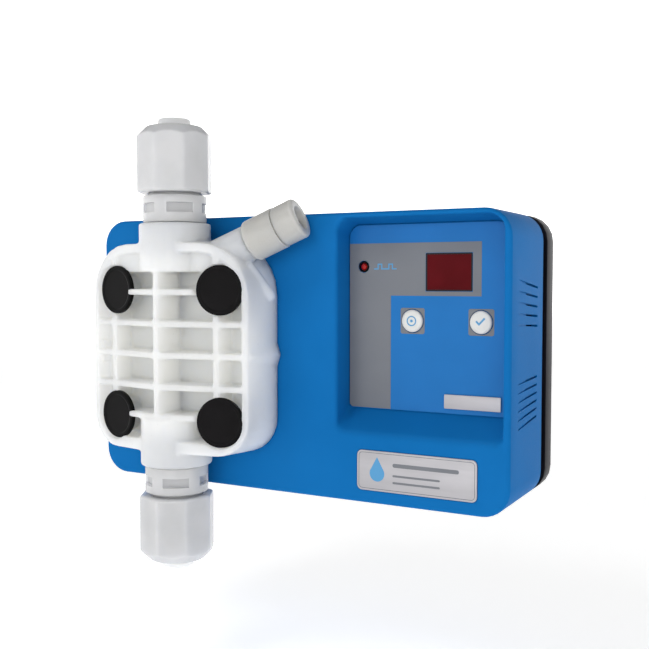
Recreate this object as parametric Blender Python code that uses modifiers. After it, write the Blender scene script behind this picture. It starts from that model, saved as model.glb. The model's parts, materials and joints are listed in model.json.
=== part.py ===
"""Wall-mounted solenoid diaphragm dosing pump, modelled as separate sub-parts.

Frame: metres, +Z up, front of the pump facing -Y. The origin is the centre of the rear face
that goes against the wall.
"""

import math

import bmesh
import bpy
from mathutils import Matrix, Vector

MM = 0.001
GAP = 0.3 * MM                      # clearance kept between touching pieces
PAST = 1.0 * MM                     # how far a cutter runs past the face that it opens
OVERLAP = 0.01 * MM                 # how far shapes that are joined sink into each other

# Case
CASE_WIDTH = 184.0 * MM
CASE_HEIGHT = 110.0 * MM
CASE_DEPTH = 54.0 * MM
CASE_CORNER = 10.5 * MM
CASE_WALL = 2.5 * MM
CASE_FRONT = -CASE_DEPTH
SHELL_BACK = -14.5 * MM             # rear edge of the blue front housing
COVER_FRONT = -8.5 * MM             # front edge of the rear cover
COVER_WALL = 2.5 * MM
GASKET_INSET = 1.2 * MM
GASKET_WIDTH = 2.6 * MM
CASE_SCREW_X = 82.0 * MM
CASE_SCREW_Z = 45.0 * MM
BOSS_RADIUS = 4.5 * MM
FRONT_BEVEL = 1.4 * MM
THREAD_BORE = 1.8 * MM              # radius of the plain bores that take the case screws
THREAD_DEPTH = 12.0 * MM
COVER_BORE = 1.9 * MM
COVER_SEAT_RADIUS = 3.9 * MM
COVER_SEAT_DEPTH = 3.0 * MM
CASE_SCREW_HEAD_RADIUS = 3.5 * MM
CASE_SCREW_HEAD_HEIGHT = 2.2 * MM
CASE_SCREW_SHANK = 1.5 * MM
CASE_SCREW_LENGTH = 23.0 * MM
CASE_SCREW_SINK = 0.5 * MM          # depth of the screw heads below the back of the cover

# Control panel recess in the front of the housing
PANEL_LEFT = 23.4 * MM
PANEL_RIGHT = 89.2 * MM
PANEL_TOP = 53.0 * MM
PANEL_BOTTOM = -28.5 * MM
PANEL_FLOOR_TOP = 50.9 * MM
PANEL_FLOOR_BOTTOM = -20.5 * MM
PANEL_DEPTH = 11.5 * MM
PANEL_FLOOR_Y = CASE_FRONT + PANEL_DEPTH
PANEL_WALL = 2.0 * MM
PANEL_FRONT_CORNERS = (3.0 * MM, 6.0 * MM, 5.0 * MM, 3.0 * MM)
PANEL_FLOOR_CORNERS = (2.0 * MM, 6.0 * MM, 5.0 * MM, 2.0 * MM)
OVERLAY_MARGIN = 0.4 * MM
OVERLAY_THICKNESS = 0.6 * MM
WINDOW_X = 64.9 * MM
WINDOW_Z = 32.4 * MM
WINDOW_WIDTH = 17.4 * MM
WINDOW_HEIGHT = 13.3 * MM
LED_X = 29.9 * MM
LED_Z = 34.6 * MM
KEY_Z = 14.0 * MM
CAL_KEY_X = 50.4 * MM
SET_KEY_X = 77.5 * MM
KEY_RADIUS = 4.25 * MM
KEY_TRAVEL = 0.4 * MM
KEY_THICKNESS = 1.3 * MM
KEY_STEM = 2.6 * MM
KEY_STEM_LENGTH = 3.0 * MM
KEY_HOLE = 3.2 * MM
KEY_EDGE = 0.6 * MM                 # width of the slope round the front of a key
KEY_EDGE_DROP = 0.4 * MM
SWITCH_SIZE = 6.0 * MM
LAMP_HOLE = 2.2 * MM
LAMP_CUT = 2.3 * MM                 # hole for the lamp in the overlay
LAMP_RADIUS = 1.5 * MM
LAMP_DOME = 1.5 * MM
LAMP_SHOULDERS = ((0.8 * MM, 1.3 * MM), (1.35 * MM, 0.8 * MM), (1.5 * MM, 0.2 * MM))
LAMP_LENGTH = 6.0 * MM
DISPLAY_HOLE_WIDTH = 15.0 * MM
DISPLAY_HOLE_HEIGHT = 11.0 * MM
MODULE_WIDTH = 24.0 * MM
MODULE_HEIGHT = 14.6 * MM

# Labels and boards
PLATE_X = 56.3 * MM
PLATE_Z = -42.3 * MM
PLATE_WIDTH = 47.6 * MM
PLATE_HEIGHT = 15.2 * MM
LABEL_X = 74.4 * MM
LABEL_Z = -15.7 * MM
LABEL_WIDTH = 21.8 * MM
LABEL_HEIGHT = 5.3 * MM
LABEL_THICKNESS = 0.4 * MM
PLATE_THICKNESS = 0.6 * MM
PLATE_CORNER = 2.0 * MM
DISPLAY_BOARD_X = 53.5 * MM
DISPLAY_BOARD_Z = 21.3 * MM
DISPLAY_BOARD_WIDTH = 58.0 * MM
DISPLAY_BOARD_HEIGHT = 37.0 * MM
MAIN_BOARD_X = 37.0 * MM
MAIN_BOARD_WIDTH = 96.0 * MM
MAIN_BOARD_HEIGHT = 72.0 * MM
BOARD_Y = -35.0 * MM
BOARD_THICKNESS = 1.6 * MM
MAIN_BOARD_Y = -17.6 * MM
TRANSFORMER_CORE = (28.0 * MM, 9.0 * MM, 32.0 * MM)
TRANSFORMER_WINDING = (21.2 * MM, 23.8 * MM, 19.2 * MM)
TRANSFORMER_X = 4.0 * MM
TRANSFORMER_Z = 6.0 * MM
TRANSFORMER_RISE = 12.0 * MM        # from the main board to the middle of the core
TERMINAL_SIZE = (30.0 * MM, 10.0 * MM, 9.0 * MM)
TERMINAL_X = 30.0 * MM
TERMINAL_Z = -29.0 * MM

# Entries on the left side, vents on the right side, hanging keyholes at the back
GLAND_Z = -30.0 * MM
PROBE_Z = -4.0 * MM
ENTRY_Y = -30.0 * MM
GLAND_HOLE = 8.2 * MM
PROBE_HOLE = 6.4 * MM
GLAND_HEX_RADIUS = 10.0 * MM
GLAND_HEX_END = 4.5 * MM
GLAND_STEM_RADIUS = 7.8 * MM
GLAND_STEM_END = -11.0 * MM
GLAND_DOME_RADIUS = 8.6 * MM
GLAND_DOME_TIP_RADIUS = 6.6 * MM
GLAND_DOME_END = 9.0 * MM
GLAND_BORE = 3.4 * MM
PROBE_FLANGE_RADIUS = 8.0 * MM
PROBE_FLANGE_END = 1.8 * MM
PROBE_BARREL_RADIUS = 4.8 * MM
PROBE_BARREL_END = 8.0 * MM
PROBE_BARREL_WALL = 0.8 * MM
PROBE_BARREL_FLOOR = 1.0 * MM
PROBE_BODY_RADIUS = 6.0 * MM
PROBE_BODY_END = -7.0 * MM
KEYHOLE_X = 60.0 * MM
KEYHOLE_Z = 30.0 * MM
KEYHOLE_EYE = 4.2 * MM
KEYHOLE_SLOT = 4.4 * MM
KEYHOLE_REACH = 9.9 * MM             # from the centre of the eye to the top of the slot
VENT_LEFT = -44.8 * MM
VENT_BACK = -21.3 * MM
VENT_THROUGH = -39.6 * MM
VENT_THROUGH_BACK = -21.7 * MM
VENT_HEIGHT = 1.3 * MM
VENT_GROOVE = 1.2 * MM              # depth of the groove in which each slot lies
UPPER_VENT_PITCH = 3.95 * MM
LOWER_VENT_PITCH = 3.3 * MM
UPPER_VENT_TOP = 29.2 * MM
LOWER_VENT_TOP = -7.6 * MM
UPPER_VENTS = 5
LOWER_VENTS = 6
VENT_FAN = math.radians(0.215) / MM  # slope of a slot for each metre above mid height

# Pump head, measured from its own centre on the front face of the case
HEAD_X = -41.5 * MM
HEAD_RIDGE = -28.6 * MM             # foremost line of the crowned front
HEAD_SLOPE = math.radians(11.8)     # fall of the front to either side of that line
HEAD_HALF_WIDTH = 37.3 * MM
HEAD_TOP = 43.3 * MM
HEAD_BOTTOM = -37.9 * MM
HEAD_TOP_CORNER = 20.0 * MM
HEAD_BOTTOM_CORNER = 13.0 * MM
HEAD_DRAFT = 1.7 * MM               # how far the outline grows from front to base
HEAD_RIM = 1.9 * MM
HEAD_RIM_TOP = 3.0 * MM
HEAD_RIM_BOTTOM = 4.2 * MM
HEAD_WEB = -22.0 * MM                # shallow floor above the upper valve socket's foot
HEAD_FLOOR = -14.0 * MM
RIB_THICKNESS = 2.3 * MM
RIB_X = (-25.0 * MM, 0.0, 25.0 * MM)
RIB_Z = (-24.2 * MM, -12.4 * MM, 0.0, 12.3 * MM, 24.7 * MM)
SCREW_PITCH = 25.5 * MM             # half of the square on which the head screws sit
COLUMN_RADIUS = 7.5 * MM
CAP_RADIUS = 9.7 * MM
CAP_THICKNESS = 2.0 * MM
CAP_FRONT = -21.5 * MM
CAP_RIM = 0.8 * MM
CAP_PLUG = 0.8 * MM                 # how far a cap reaches into its column
CAP_PLUG_RADIUS = 3.5 * MM
CAP_PLUG_TIP_RADIUS = 3.3 * MM
HEAD_SINK_RADIUS = 4.6 * MM
HEAD_SINK_START = 12.0 * MM         # depths of a screw's bore, counted from the case front
HEAD_SCREW_HEAD_RADIUS = 4.25 * MM
HEAD_SCREW_HEAD_START = 12.3 * MM
HEAD_SCREW_HEAD_END = 16.3 * MM
HEAD_SCREW_SHANK = 2.5 * MM
HEAD_SCREW_END = -10.0 * MM
HEAD_SCREW_SOCKET_RADIUS = 2.2 * MM
HEAD_SCREW_SOCKET_DEPTH = 2.5 * MM
HEAD_BLANK = 4.0 * MM               # length of the head past its ridge before the crown is cut
SPAN = 100.0 * MM                   # longer than the head is in any direction
CROWN_SLAB = (110.0 * MM, 40.0 * MM, 120.0 * MM)
CROWN_SHIFT = 40.0 * MM

# Valve line of the head
VALVE_Y = -15.2 * MM
SOCKET_RADIUS = 14.2 * MM
SOCKET_BORE = 10.0 * MM
SOCKET_DEPTH = 12.5 * MM
DISCHARGE_SOCKET_END = 51.8 * MM
DISCHARGE_SOCKET_START = 32.6 * MM
SUCTION_SOCKET_END = -44.4 * MM
SUCTION_SOCKET_START = -25.2 * MM
SOCKET_CHAMFER = 1.0 * MM
BODY_END = 27.0 * MM                # distances outward from the end of a socket
COLLAR_END = 10.9 * MM
BODY_LEDGE = 1.3 * MM
BODY_START = 0.4 * MM               # distance kept from the bottom of the socket's bore
GROOVE_RADIUS = 8.3 * MM
GROOVE_END = -0.5 * MM
GROOVE_START = -2.5 * MM
O_RING_RADIUS = 9.2 * MM
O_RING_SECTION = 0.6 * MM
WINDOW_SIZE = (4.2 * MM, 10.2 * MM, 3.8 * MM)
WINDOW_MIDDLE = 5.9 * MM
COLLAR_RADIUS = 12.55 * MM
NECK_RADIUS = 10.2 * MM
BODY_BORE = 6.3 * MM
BALL_RADIUS = 3.75 * MM
BALL_LIFT = 1.2 * MM
SEAT_HOLE = 2.6 * MM
SEAT_DEPTH = 2.5 * MM
DISCHARGE_SEAT = -9.3 * MM
SUCTION_SEAT = -1.5 * MM
CAGE_LIP = 1.2 * MM
CAGE_LIP_RADIUS = 2.9 * MM
NUT_RADIUS = 15.2 * MM
NUT_START = 12.0 * MM               # from the socket end to the near face of the nut
NUT_END = 38.1 * MM
NUT_TURN = math.radians(5.8)        # where a corner of the octagon sits at rest
NUT_CORNER = 0.5 * MM
NUT_RIM = 0.6 * MM
CROWN_RADIUS = 11.0 * MM            # the nut's conical crown at its outer end
CROWN_FOOT_RADIUS = 15.6 * MM
CROWN_HEIGHT = 4.6 * MM
NUT_BORE = 10.55 * MM
NUT_HOLE_DEPTH = 7.7 * MM           # from the insert's inner end to the nut's narrow hole
NUT_BORE_DEPTH = 3.1 * MM
INSERT_END = 41.2 * MM
INSERT_RADIUS = 6.5 * MM
INSERT_TIP = ((5.3 * MM, 0.0), (6.2 * MM, 0.5 * MM), (6.5 * MM, 1.4 * MM))
INSERT_CONE_END = 7.5 * MM
INSERT_CONE_START = 2.6 * MM
WINDOWS = 5                         # recesses round the collar of each valve body
TUBE_BORE = 3.0 * MM
PASSAGE_RADIUS = 2.0 * MM
PASSAGE_Y = -10.0 * MM
PORT_Z = 12.0 * MM
PORT_RADIUS = 1.9 * MM

# Bleed valve on the upper right shoulder of the head
BLEED_RISE = math.radians(24.0)     # rise of its axis above horizontal
BLEED_TILT = math.radians(9.9)      # lean of its axis back towards the case
BLEED_FOOT = Vector((0.0, -18.0, 28.7)) * MM    # where its axis passes over the valve line
BLEED_START = 37.9 * MM             # distances along its axis from that foot
BLEED_SEAM = 51.2 * MM
BLEED_END = 60.2 * MM
BLEED_RADIUS = 8.1 * MM
BLEED_CHAMFER = 0.8 * MM
BLEED_NECK_START = 16.0 * MM
BLEED_NECK_FOOT_RADIUS = 7.4 * MM
BLEED_NECK_RADIUS = 7.0 * MM
BLEED_NECK_BORE = 4.0 * MM
BLEED_NECK_BORE_START = 20.5 * MM
BLEED_BORE = 3.2 * MM
BLEED_ORIFICE = 1.2 * MM
BLEED_STEM_LENGTH = 16.0 * MM       # depths below the start of the bleed body
BLEED_ORIFICE_END = 13.0 * MM
BLEED_CONE_END = 10.0 * MM
KNOB_RADIUS = 7.85 * MM
KNOB_CHAMFER = 1.0 * MM
KNOB_MOUTH_RADIUS = 4.6 * MM
KNOB_MOUTH_FLOOR_RADIUS = 2.2 * MM
KNOB_MOUTH_FLOOR = 3.0 * MM
NEEDLE_HOLLOW = 1.0 * MM
NEEDLE_TIP_RADIUS = 0.9 * MM
NEEDLE_HOLLOW_DEPTH = 6.0 * MM
NEEDLE_CONE_DEPTH = 9.0 * MM
NEEDLE_TIP_DEPTH = 12.4 * MM
DUCT_START = Vector((33.3, -14.3, 35.8)) * MM   # moulded duct down the right shoulder
DUCT_END = Vector((38.9, -6.0, 23.3)) * MM
DUCT_RADIUS = 2.2 * MM
NUB_HEIGHT = 4.5 * MM               # half height of the small point on either flank
NUB_REACH = 1.5 * MM
NUB_ROOT = 3.0 * MM
NUB_FRONT = -19.0 * MM

# Drive, measured from the head centre on the front face of the case
OPENING_RADIUS = 30.0 * MM
CASE_HEAD_BORE = 2.9 * MM            # radius of the head screw holes through the case
HEAD_BORE = 2.8 * MM
DIAPHRAGM_RADIUS = 26.2 * MM
CHAMBER_RADIUS = 18.0 * MM
CHAMBER_FLOOR_RADIUS = 13.0 * MM
CHAMBER_DEPTH = 4.3 * MM
DIAPHRAGM_SEAT_DEPTH = 2.6 * MM
DIAPHRAGM_WEB = 1.2 * MM
DIAPHRAGM_BENDS = ((9.5 * MM, 1.6 * MM), (13.5 * MM, 2.2 * MM))   # radius and front height
DIAPHRAGM_FLANGE_FRONT = 2.3 * MM
DIAPHRAGM_BOSS_RADIUS = 8.0 * MM
DIAPHRAGM_BOSS_FRONT = 2.5 * MM
DIAPHRAGM_BOSS_BACK = -0.6 * MM
DIAPHRAGM_BORE = 3.3 * MM
DIAPHRAGM_BORE_END = 1.4 * MM
HUB_PIN_RADIUS = 3.0 * MM
HUB_PIN_FRONT = 1.0 * MM
HUB_DISC_RADIUS = 9.0 * MM
HUB_DISC_FRONT = -0.9 * MM
HUB_DISC_BACK = -2.9 * MM
HUB_COLLAR_RADIUS = 4.5 * MM
HUB_COLLAR_BACK = -5.4 * MM
HUB_BORE_END = -1.3 * MM
BACKING_BORE = 10.0 * MM
BACKING_THICKNESS = 2.4 * MM
MOUNTING_PLATE_SIZE = 66.0 * MM
MOUNTING_PLATE_THICKNESS = 3.0 * MM
MOUNTING_PLATE_HOLE = 10.6 * MM
STROKE = 1.25 * MM
ROD_RADIUS = 2.5 * MM
ARMATURE_RADIUS = 9.0 * MM
YOKE_FRONT = 6.1 * MM
YOKE_BACK = 42.0 * MM
YOKE_WALL = 3.0 * MM
YOKE_WIDTH = 50.0 * MM
YOKE_HEIGHT = 44.0 * MM
CORE_RADIUS = 9.3 * MM
BOBBIN_FLANGE = 21.4 * MM
BOBBIN_CHEEK = 1.5 * MM
BOBBIN_WALL = 1.2 * MM
WINDING_RADIUS = 20.4 * MM
POLE_BACK = -22.0 * MM              # heights along the drive, forwards from the case front
SPRING_POCKET_RADIUS = 5.4 * MM
SPRING_POCKET_DEPTH = 3.0 * MM
ARMATURE_REST_GAP = 0.35 * MM       # left between pole and armature at full stroke
ARMATURE_BACK = -38.4 * MM
ROD_END = -31.0 * MM
ROD_FRONT = -1.6 * MM
SPRING_RADIUS = 4.0 * MM
SPRING_WIRE = 0.4 * MM
SPRING_TURNS = 4.5

SEGMENTS = 24                       # sides of an ordinary round piece

parts = None
cutters = None
materials = {}


# ---------------------------------------------------------------- scene and materials

def clear_scene():
    for obj in list(bpy.data.objects):
        bpy.data.objects.remove(obj, do_unlink=True)
    for collection in list(bpy.data.collections):
        bpy.data.collections.remove(collection)


def make_collection(name):
    collection = bpy.data.collections.new(name)
    bpy.context.scene.collection.children.link(collection)
    return collection


def material(name, colour, roughness, metallic=0.0, transmission=0.0):
    made = bpy.data.materials.new(name)
    made.use_nodes = True
    shader = made.node_tree.nodes["Principled BSDF"]
    shader.inputs["Base Color"].default_value = (*colour, 1.0)
    shader.inputs["Roughness"].default_value = roughness
    shader.inputs["Metallic"].default_value = metallic
    shader.inputs["Transmission Weight"].default_value = transmission
    made.diffuse_color = (*colour, 1.0)
    materials[name] = made


def make_materials():
    material("blue_plastic", (0.02, 0.16, 0.46), 0.35)
    material("black_plastic", (0.012, 0.012, 0.013), 0.45)
    material("grey_film", (0.16, 0.18, 0.20), 0.4)
    material("red_window", (0.12, 0.004, 0.008), 0.15, transmission=0.4)
    material("red_lens", (0.45, 0.01, 0.01), 0.2, transmission=0.3)
    material("key_film", (0.72, 0.70, 0.62), 0.4)
    material("silver_label", (0.62, 0.62, 0.60), 0.3, metallic=0.7)
    material("clear_plastic", (0.80, 0.82, 0.84), 0.25, transmission=0.3)
    material("white_plastic", (0.82, 0.81, 0.76), 0.35)
    material("ceramic", (0.90, 0.88, 0.84), 0.15)
    material("rubber", (0.02, 0.02, 0.02), 0.8)
    material("ptfe", (0.88, 0.88, 0.86), 0.5)
    material("steel", (0.60, 0.60, 0.61), 0.3, metallic=1.0)
    material("copper", (0.70, 0.32, 0.16), 0.35, metallic=1.0)
    material("circuit_board", (0.02, 0.20, 0.08), 0.5)
    material("laminated_steel", (0.30, 0.30, 0.31), 0.5, metallic=0.8)
    material("terminal_green", (0.03, 0.30, 0.12), 0.5)


# ---------------------------------------------------------------- placing and combining

def place(obj, parent=None, location=(0.0, 0.0, 0.0), rotation=None, finish=None):
    """Link a new object, set its pose under its parent and give it its material."""
    parts.objects.link(obj)
    obj.parent = parent
    obj.location = location
    if rotation is not None:
        obj.rotation_euler = rotation.to_euler()
    if finish:
        obj.data.materials.clear()
        obj.data.materials.append(materials[finish])
    return obj


def empty(name, location):
    obj = bpy.data.objects.new(name, None)
    obj.empty_display_size = 5.0 * MM
    parts.objects.link(obj)
    obj.location = location
    return obj


def combine(target, tool, operation="DIFFERENCE"):
    """Cut or join a hidden tool shape into the target."""
    parts.objects.unlink(tool)
    cutters.objects.link(tool)
    tool.hide_render = True
    tool.display_type = "WIRE"
    modifier = target.modifiers.new(tool.name, "BOOLEAN")
    modifier.operation = operation
    modifier.solver = "EXACT"
    modifier.object = tool


def towards(direction):
    """Rotation that turns local +Z to the given direction."""
    return Vector((0.0, 0.0, 1.0)).rotation_difference(Vector(direction)).to_matrix()


FRONT = towards((0.0, -1.0, 0.0))
UP = towards((0.0, 0.0, 1.0))
RIGHT = towards((1.0, 0.0, 0.0))
DOWN = Matrix.Rotation(math.pi, 3, "X")
BACK = towards((0.0, 1.0, 0.0))


# ---------------------------------------------------------------- shapes

def finish_mesh(name, bm, smooth_angle=35.0):
    bmesh.ops.recalc_face_normals(bm, faces=bm.faces)
    mesh = bpy.data.meshes.new(name)
    bm.to_mesh(mesh)
    bm.free()
    mesh.shade_smooth()
    mesh.set_sharp_from_angle(angle=math.radians(smooth_angle))
    return bpy.data.objects.new(name, mesh)


def add_box(bm, size, centre=(0.0, 0.0, 0.0)):
    made = bmesh.ops.create_cube(bm, size=1.0)
    bmesh.ops.scale(bm, vec=size, verts=made["verts"])
    bmesh.ops.translate(bm, vec=centre, verts=made["verts"])


def box(name, size, centre=(0.0, 0.0, 0.0), bevel=0.0, segments=2):
    bm = bmesh.new()
    add_box(bm, size, centre)
    if bevel:
        bmesh.ops.bevel(bm, geom=list(bm.edges), offset=bevel, segments=segments,
                        profile=0.5, affect="EDGES")
    return finish_mesh(name, bm)


def cylinder(name, radius, start, end, segments=SEGMENTS, end_radius=None):
    """Cylinder or cone frustum along local Z from start to end."""
    bm = bmesh.new()
    bmesh.ops.create_cone(bm, cap_ends=True, segments=segments, radius1=radius,
                          radius2=radius if end_radius is None else end_radius,
                          depth=end - start)
    bmesh.ops.translate(bm, vec=(0.0, 0.0, (start + end) / 2), verts=list(bm.verts))
    return finish_mesh(name, bm)


def turned(name, profile, steps=SEGMENTS, closed=False):
    """Turn a profile of (radius, height) points about local Z.

    The points run from the top down the outer side; a closed profile returns up its bore.
    """
    bm = bmesh.new()
    verts = [bm.verts.new((radius, 0.0, height)) for radius, height in profile]
    for first, second in zip(verts, verts[1:]):
        bm.edges.new((first, second))
    if closed:
        bm.edges.new((verts[-1], verts[0]))
    mesh = bpy.data.meshes.new(name)
    bm.to_mesh(mesh)
    bm.free()
    obj = bpy.data.objects.new(name, mesh)
    screw = obj.modifiers.new("turn", "SCREW")
    screw.axis = "Z"
    screw.steps = steps
    screw.render_steps = steps
    screw.use_merge_vertices = True
    screw.merge_threshold = 0.00001
    screw.use_smooth_shade = True
    return obj


def tube(name, outer, inner, start, end, steps=SEGMENTS):
    return turned(name, [(inner, end), (outer, end), (outer, start), (inner, start)],
                  steps, closed=True)


def ring(name, radius, section, steps=SEGMENTS, section_steps=8):
    bm = bmesh.new()
    angles = [-2.0 * math.pi * i / section_steps for i in range(section_steps)]
    verts = [bm.verts.new((radius + section * math.cos(a), 0.0, section * math.sin(a)))
             for a in angles]
    for first, second in zip(verts, verts[1:] + verts[:1]):
        bm.edges.new((first, second))
    mesh = bpy.data.meshes.new(name)
    bm.to_mesh(mesh)
    bm.free()
    obj = bpy.data.objects.new(name, mesh)
    screw = obj.modifiers.new("turn", "SCREW")
    screw.steps = steps
    screw.render_steps = steps
    screw.use_merge_vertices = True
    screw.merge_threshold = 0.00001
    return obj


def rounded_outline(left, right, bottom, top, radii, steps=5):
    """Corner arcs of a rounded rectangle: radii run lower right, upper right, upper left, lower left."""
    centres = (
        (right - radii[0], bottom + radii[0], -90.0),
        (right - radii[1], top - radii[1], 0.0),
        (left + radii[2], top - radii[2], 90.0),
        (left + radii[3], bottom + radii[3], 180.0),
    )
    points = []
    for (x, z, start), radius in zip(centres, radii):
        for i in range(steps + 1):
            angle = math.radians(start + 90.0 * i / steps)
            points.append((x + radius * math.cos(angle), z + radius * math.sin(angle)))
    return points


def prism(name, back, front, y_back, y_front, front_bevel=0.0):
    """Solid between an outline at y_back and an outline of as many points at y_front."""
    bm = bmesh.new()
    face = bm.faces.new([bm.verts.new((x, y_back, z)) for x, z in back])
    grown = bmesh.ops.extrude_face_region(bm, geom=[face])
    front_verts = [item for item in grown["geom"] if isinstance(item, bmesh.types.BMVert)]
    for vert in front_verts:
        x, z = vert.co.x, vert.co.z
        nearest = min(range(len(back)),
                      key=lambda i: (back[i][0] - x) ** 2 + (back[i][1] - z) ** 2)
        vert.co = (front[nearest][0], y_front, front[nearest][1])
    if front_bevel:
        edges = [edge for edge in bm.edges
                 if all(abs(vert.co.y - y_front) < 1e-6 for vert in edge.verts)]
        bmesh.ops.bevel(bm, geom=edges, offset=front_bevel, segments=3, profile=0.5,
                        affect="EDGES")
    return finish_mesh(name, bm)


def case_outline(inset=0.0):
    radius = CASE_CORNER - inset
    return rounded_outline(-CASE_WIDTH / 2 + inset, CASE_WIDTH / 2 - inset,
                           -CASE_HEIGHT / 2 + inset, CASE_HEIGHT / 2 - inset, (radius,) * 4)


def corner_places():
    return [(x, z) for x in (-CASE_SCREW_X, CASE_SCREW_X) for z in (-CASE_SCREW_Z, CASE_SCREW_Z)]


def corner_name(x, z):
    return f"{'upper' if z > 0 else 'lower'}_{'right' if x > 0 else 'left'}"


def head_screw_places():
    return [(x, z) for x in (-SCREW_PITCH, SCREW_PITCH) for z in (-SCREW_PITCH, SCREW_PITCH)]


# ---------------------------------------------------------------- case

def panel_outlines(grow=0.0):
    """Outlines of the panel recess at the case front and at its floor."""
    at_front = rounded_outline(PANEL_LEFT - grow, PANEL_RIGHT + grow, PANEL_BOTTOM - grow,
                               PANEL_TOP + grow, PANEL_FRONT_CORNERS, 4)
    at_floor = rounded_outline(PANEL_LEFT - grow, PANEL_RIGHT + grow, PANEL_FLOOR_BOTTOM - grow,
                               PANEL_FLOOR_TOP + grow, PANEL_FLOOR_CORNERS, 4)
    return at_front, at_floor


def vent_heights():
    upper = [UPPER_VENT_TOP - UPPER_VENT_PITCH * i for i in range(UPPER_VENTS)]
    lower = [LOWER_VENT_TOP - LOWER_VENT_PITCH * i for i in range(LOWER_VENTS)]
    return upper + lower


def vent_cutter(name, size, start, back):
    """One cutter box for each slot; the slots fan out from mid height."""
    bm = bmesh.new()
    for z in vent_heights():
        slope = Matrix.Rotation(-VENT_FAN * z, 3, "X")
        offset = slope @ Vector((0.0, (start + back) / 2 - VENT_LEFT, 0.0))
        made = bmesh.ops.create_cube(bm, size=1.0)
        bmesh.ops.scale(bm, vec=size, verts=made["verts"])
        bmesh.ops.rotate(bm, matrix=slope, verts=made["verts"])
        bmesh.ops.translate(bm, vec=(CASE_WIDTH / 2, VENT_LEFT + offset.y, z + offset.z),
                            verts=made["verts"])
    return place(finish_mesh(name, bm))


def build_front_housing():
    outer = case_outline()
    housing = place(prism("front_housing", outer, outer, SHELL_BACK, CASE_FRONT, FRONT_BEVEL),
                    finish="blue_plastic")

    # The hollow inside leaves the recess tub and the corner bosses standing.
    inner = case_outline(CASE_WALL)
    hollow = place(prism("housing_hollow", inner, inner, SHELL_BACK + PAST,
                         CASE_FRONT + CASE_WALL))
    tub_front, tub_floor = panel_outlines(PANEL_WALL)
    tub = place(prism("recess_tub", tub_floor, tub_front, PANEL_FLOOR_Y + PANEL_WALL, CASE_FRONT))
    combine(hollow, tub)
    for index, (x, z) in enumerate(corner_places()):
        start = PANEL_FLOOR_Y if x > 0 and z > 0 else CASE_FRONT
        boss = place(cylinder(f"boss_{index}", BOSS_RADIUS, -SHELL_BACK, -start, segments=14),
                     rotation=FRONT, location=(x, 0.0, z))
        combine(hollow, boss)
    combine(housing, hollow)

    at_front, at_floor = panel_outlines()
    combine(housing, place(prism("panel_recess", at_floor, at_front, PANEL_FLOOR_Y, CASE_FRONT)))
    combine(housing, place(prism("recess_mouth", at_front, at_front, CASE_FRONT + OVERLAP,
                                 CASE_FRONT - PAST)))

    # Apertures in the recess floor for the display, the lamp and the two keys.
    reach = PANEL_WALL + PAST
    combine(housing, place(box("display_aperture", (DISPLAY_HOLE_WIDTH, 2 * reach,
                                                    DISPLAY_HOLE_HEIGHT)),
                           location=(WINDOW_X, PANEL_FLOOR_Y, WINDOW_Z)))
    for label, x, z, radius in (("lamp", LED_X, LED_Z, LAMP_HOLE),
                                ("cal", CAL_KEY_X, KEY_Z, KEY_HOLE),
                                ("set", SET_KEY_X, KEY_Z, KEY_HOLE)):
        hole = place(cylinder(f"{label}_aperture", radius, -reach, reach, segments=20),
                     rotation=FRONT, location=(x, PANEL_FLOOR_Y, z))
        combine(housing, hole)

    # Openings behind the pump head.
    head = Vector((HEAD_X, CASE_FRONT, 0.0))
    inside = -CASE_WALL - PAST
    combine(housing, place(cylinder("head_opening", OPENING_RADIUS, inside, PAST, segments=36),
                           rotation=FRONT, location=head))
    for index, (x, z) in enumerate(head_screw_places()):
        hole = place(cylinder(f"head_screw_hole_{index}", CASE_HEAD_BORE, inside, PAST,
                              segments=12),
                     rotation=FRONT, location=head + Vector((x, 0.0, z)))
        combine(housing, hole)

    # Plain bores for the case screws.
    for index, (x, z) in enumerate(corner_places()):
        bore = place(cylinder(f"case_screw_bore_{index}", THREAD_BORE, -SHELL_BACK - PAST,
                              -SHELL_BACK + THREAD_DEPTH, segments=12),
                     rotation=FRONT, location=(x, 0.0, z))
        combine(housing, bore)

    # Entries on the left side, vent slots on the right side.
    for label, z, radius in (("gland", GLAND_Z, GLAND_HOLE), ("probe", PROBE_Z, PROBE_HOLE)):
        hole = place(cylinder(f"{label}_entry", radius, inside, -inside),
                     rotation=RIGHT, location=(-CASE_WIDTH / 2, ENTRY_Y, z))
        combine(housing, hole)
    groove = (2 * VENT_GROOVE, VENT_BACK - VENT_LEFT, VENT_HEIGHT)
    combine(housing, vent_cutter("vent_grooves", groove, VENT_LEFT, VENT_BACK))
    slot = (-2 * inside, VENT_THROUGH_BACK - VENT_THROUGH, VENT_HEIGHT - GAP)
    combine(housing, vent_cutter("vent_slots", slot, VENT_THROUGH, VENT_THROUGH_BACK))

    # Shallow seat for the name plate.
    seat = plate_outline(GAP)
    combine(housing, place(prism("name_plate_seat", seat, seat, CASE_FRONT + PLATE_THICKNESS,
                                 CASE_FRONT - PAST)))


def plate_outline(grow=0.0):
    radius = PLATE_CORNER + grow
    return rounded_outline(PLATE_X - PLATE_WIDTH / 2 - grow, PLATE_X + PLATE_WIDTH / 2 + grow,
                           PLATE_Z - PLATE_HEIGHT / 2 - grow, PLATE_Z + PLATE_HEIGHT / 2 + grow,
                           (radius,) * 4, 3)


def build_gasket():
    outer = case_outline(GASKET_INSET)
    inner = case_outline(GASKET_INSET + GASKET_WIDTH)
    gasket = place(prism("case_gasket", outer, outer, COVER_FRONT - GAP, SHELL_BACK + GAP),
                   finish="rubber")
    combine(gasket, place(prism("gasket_hollow", inner, inner, COVER_FRONT + PAST,
                                SHELL_BACK - PAST)))


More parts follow.
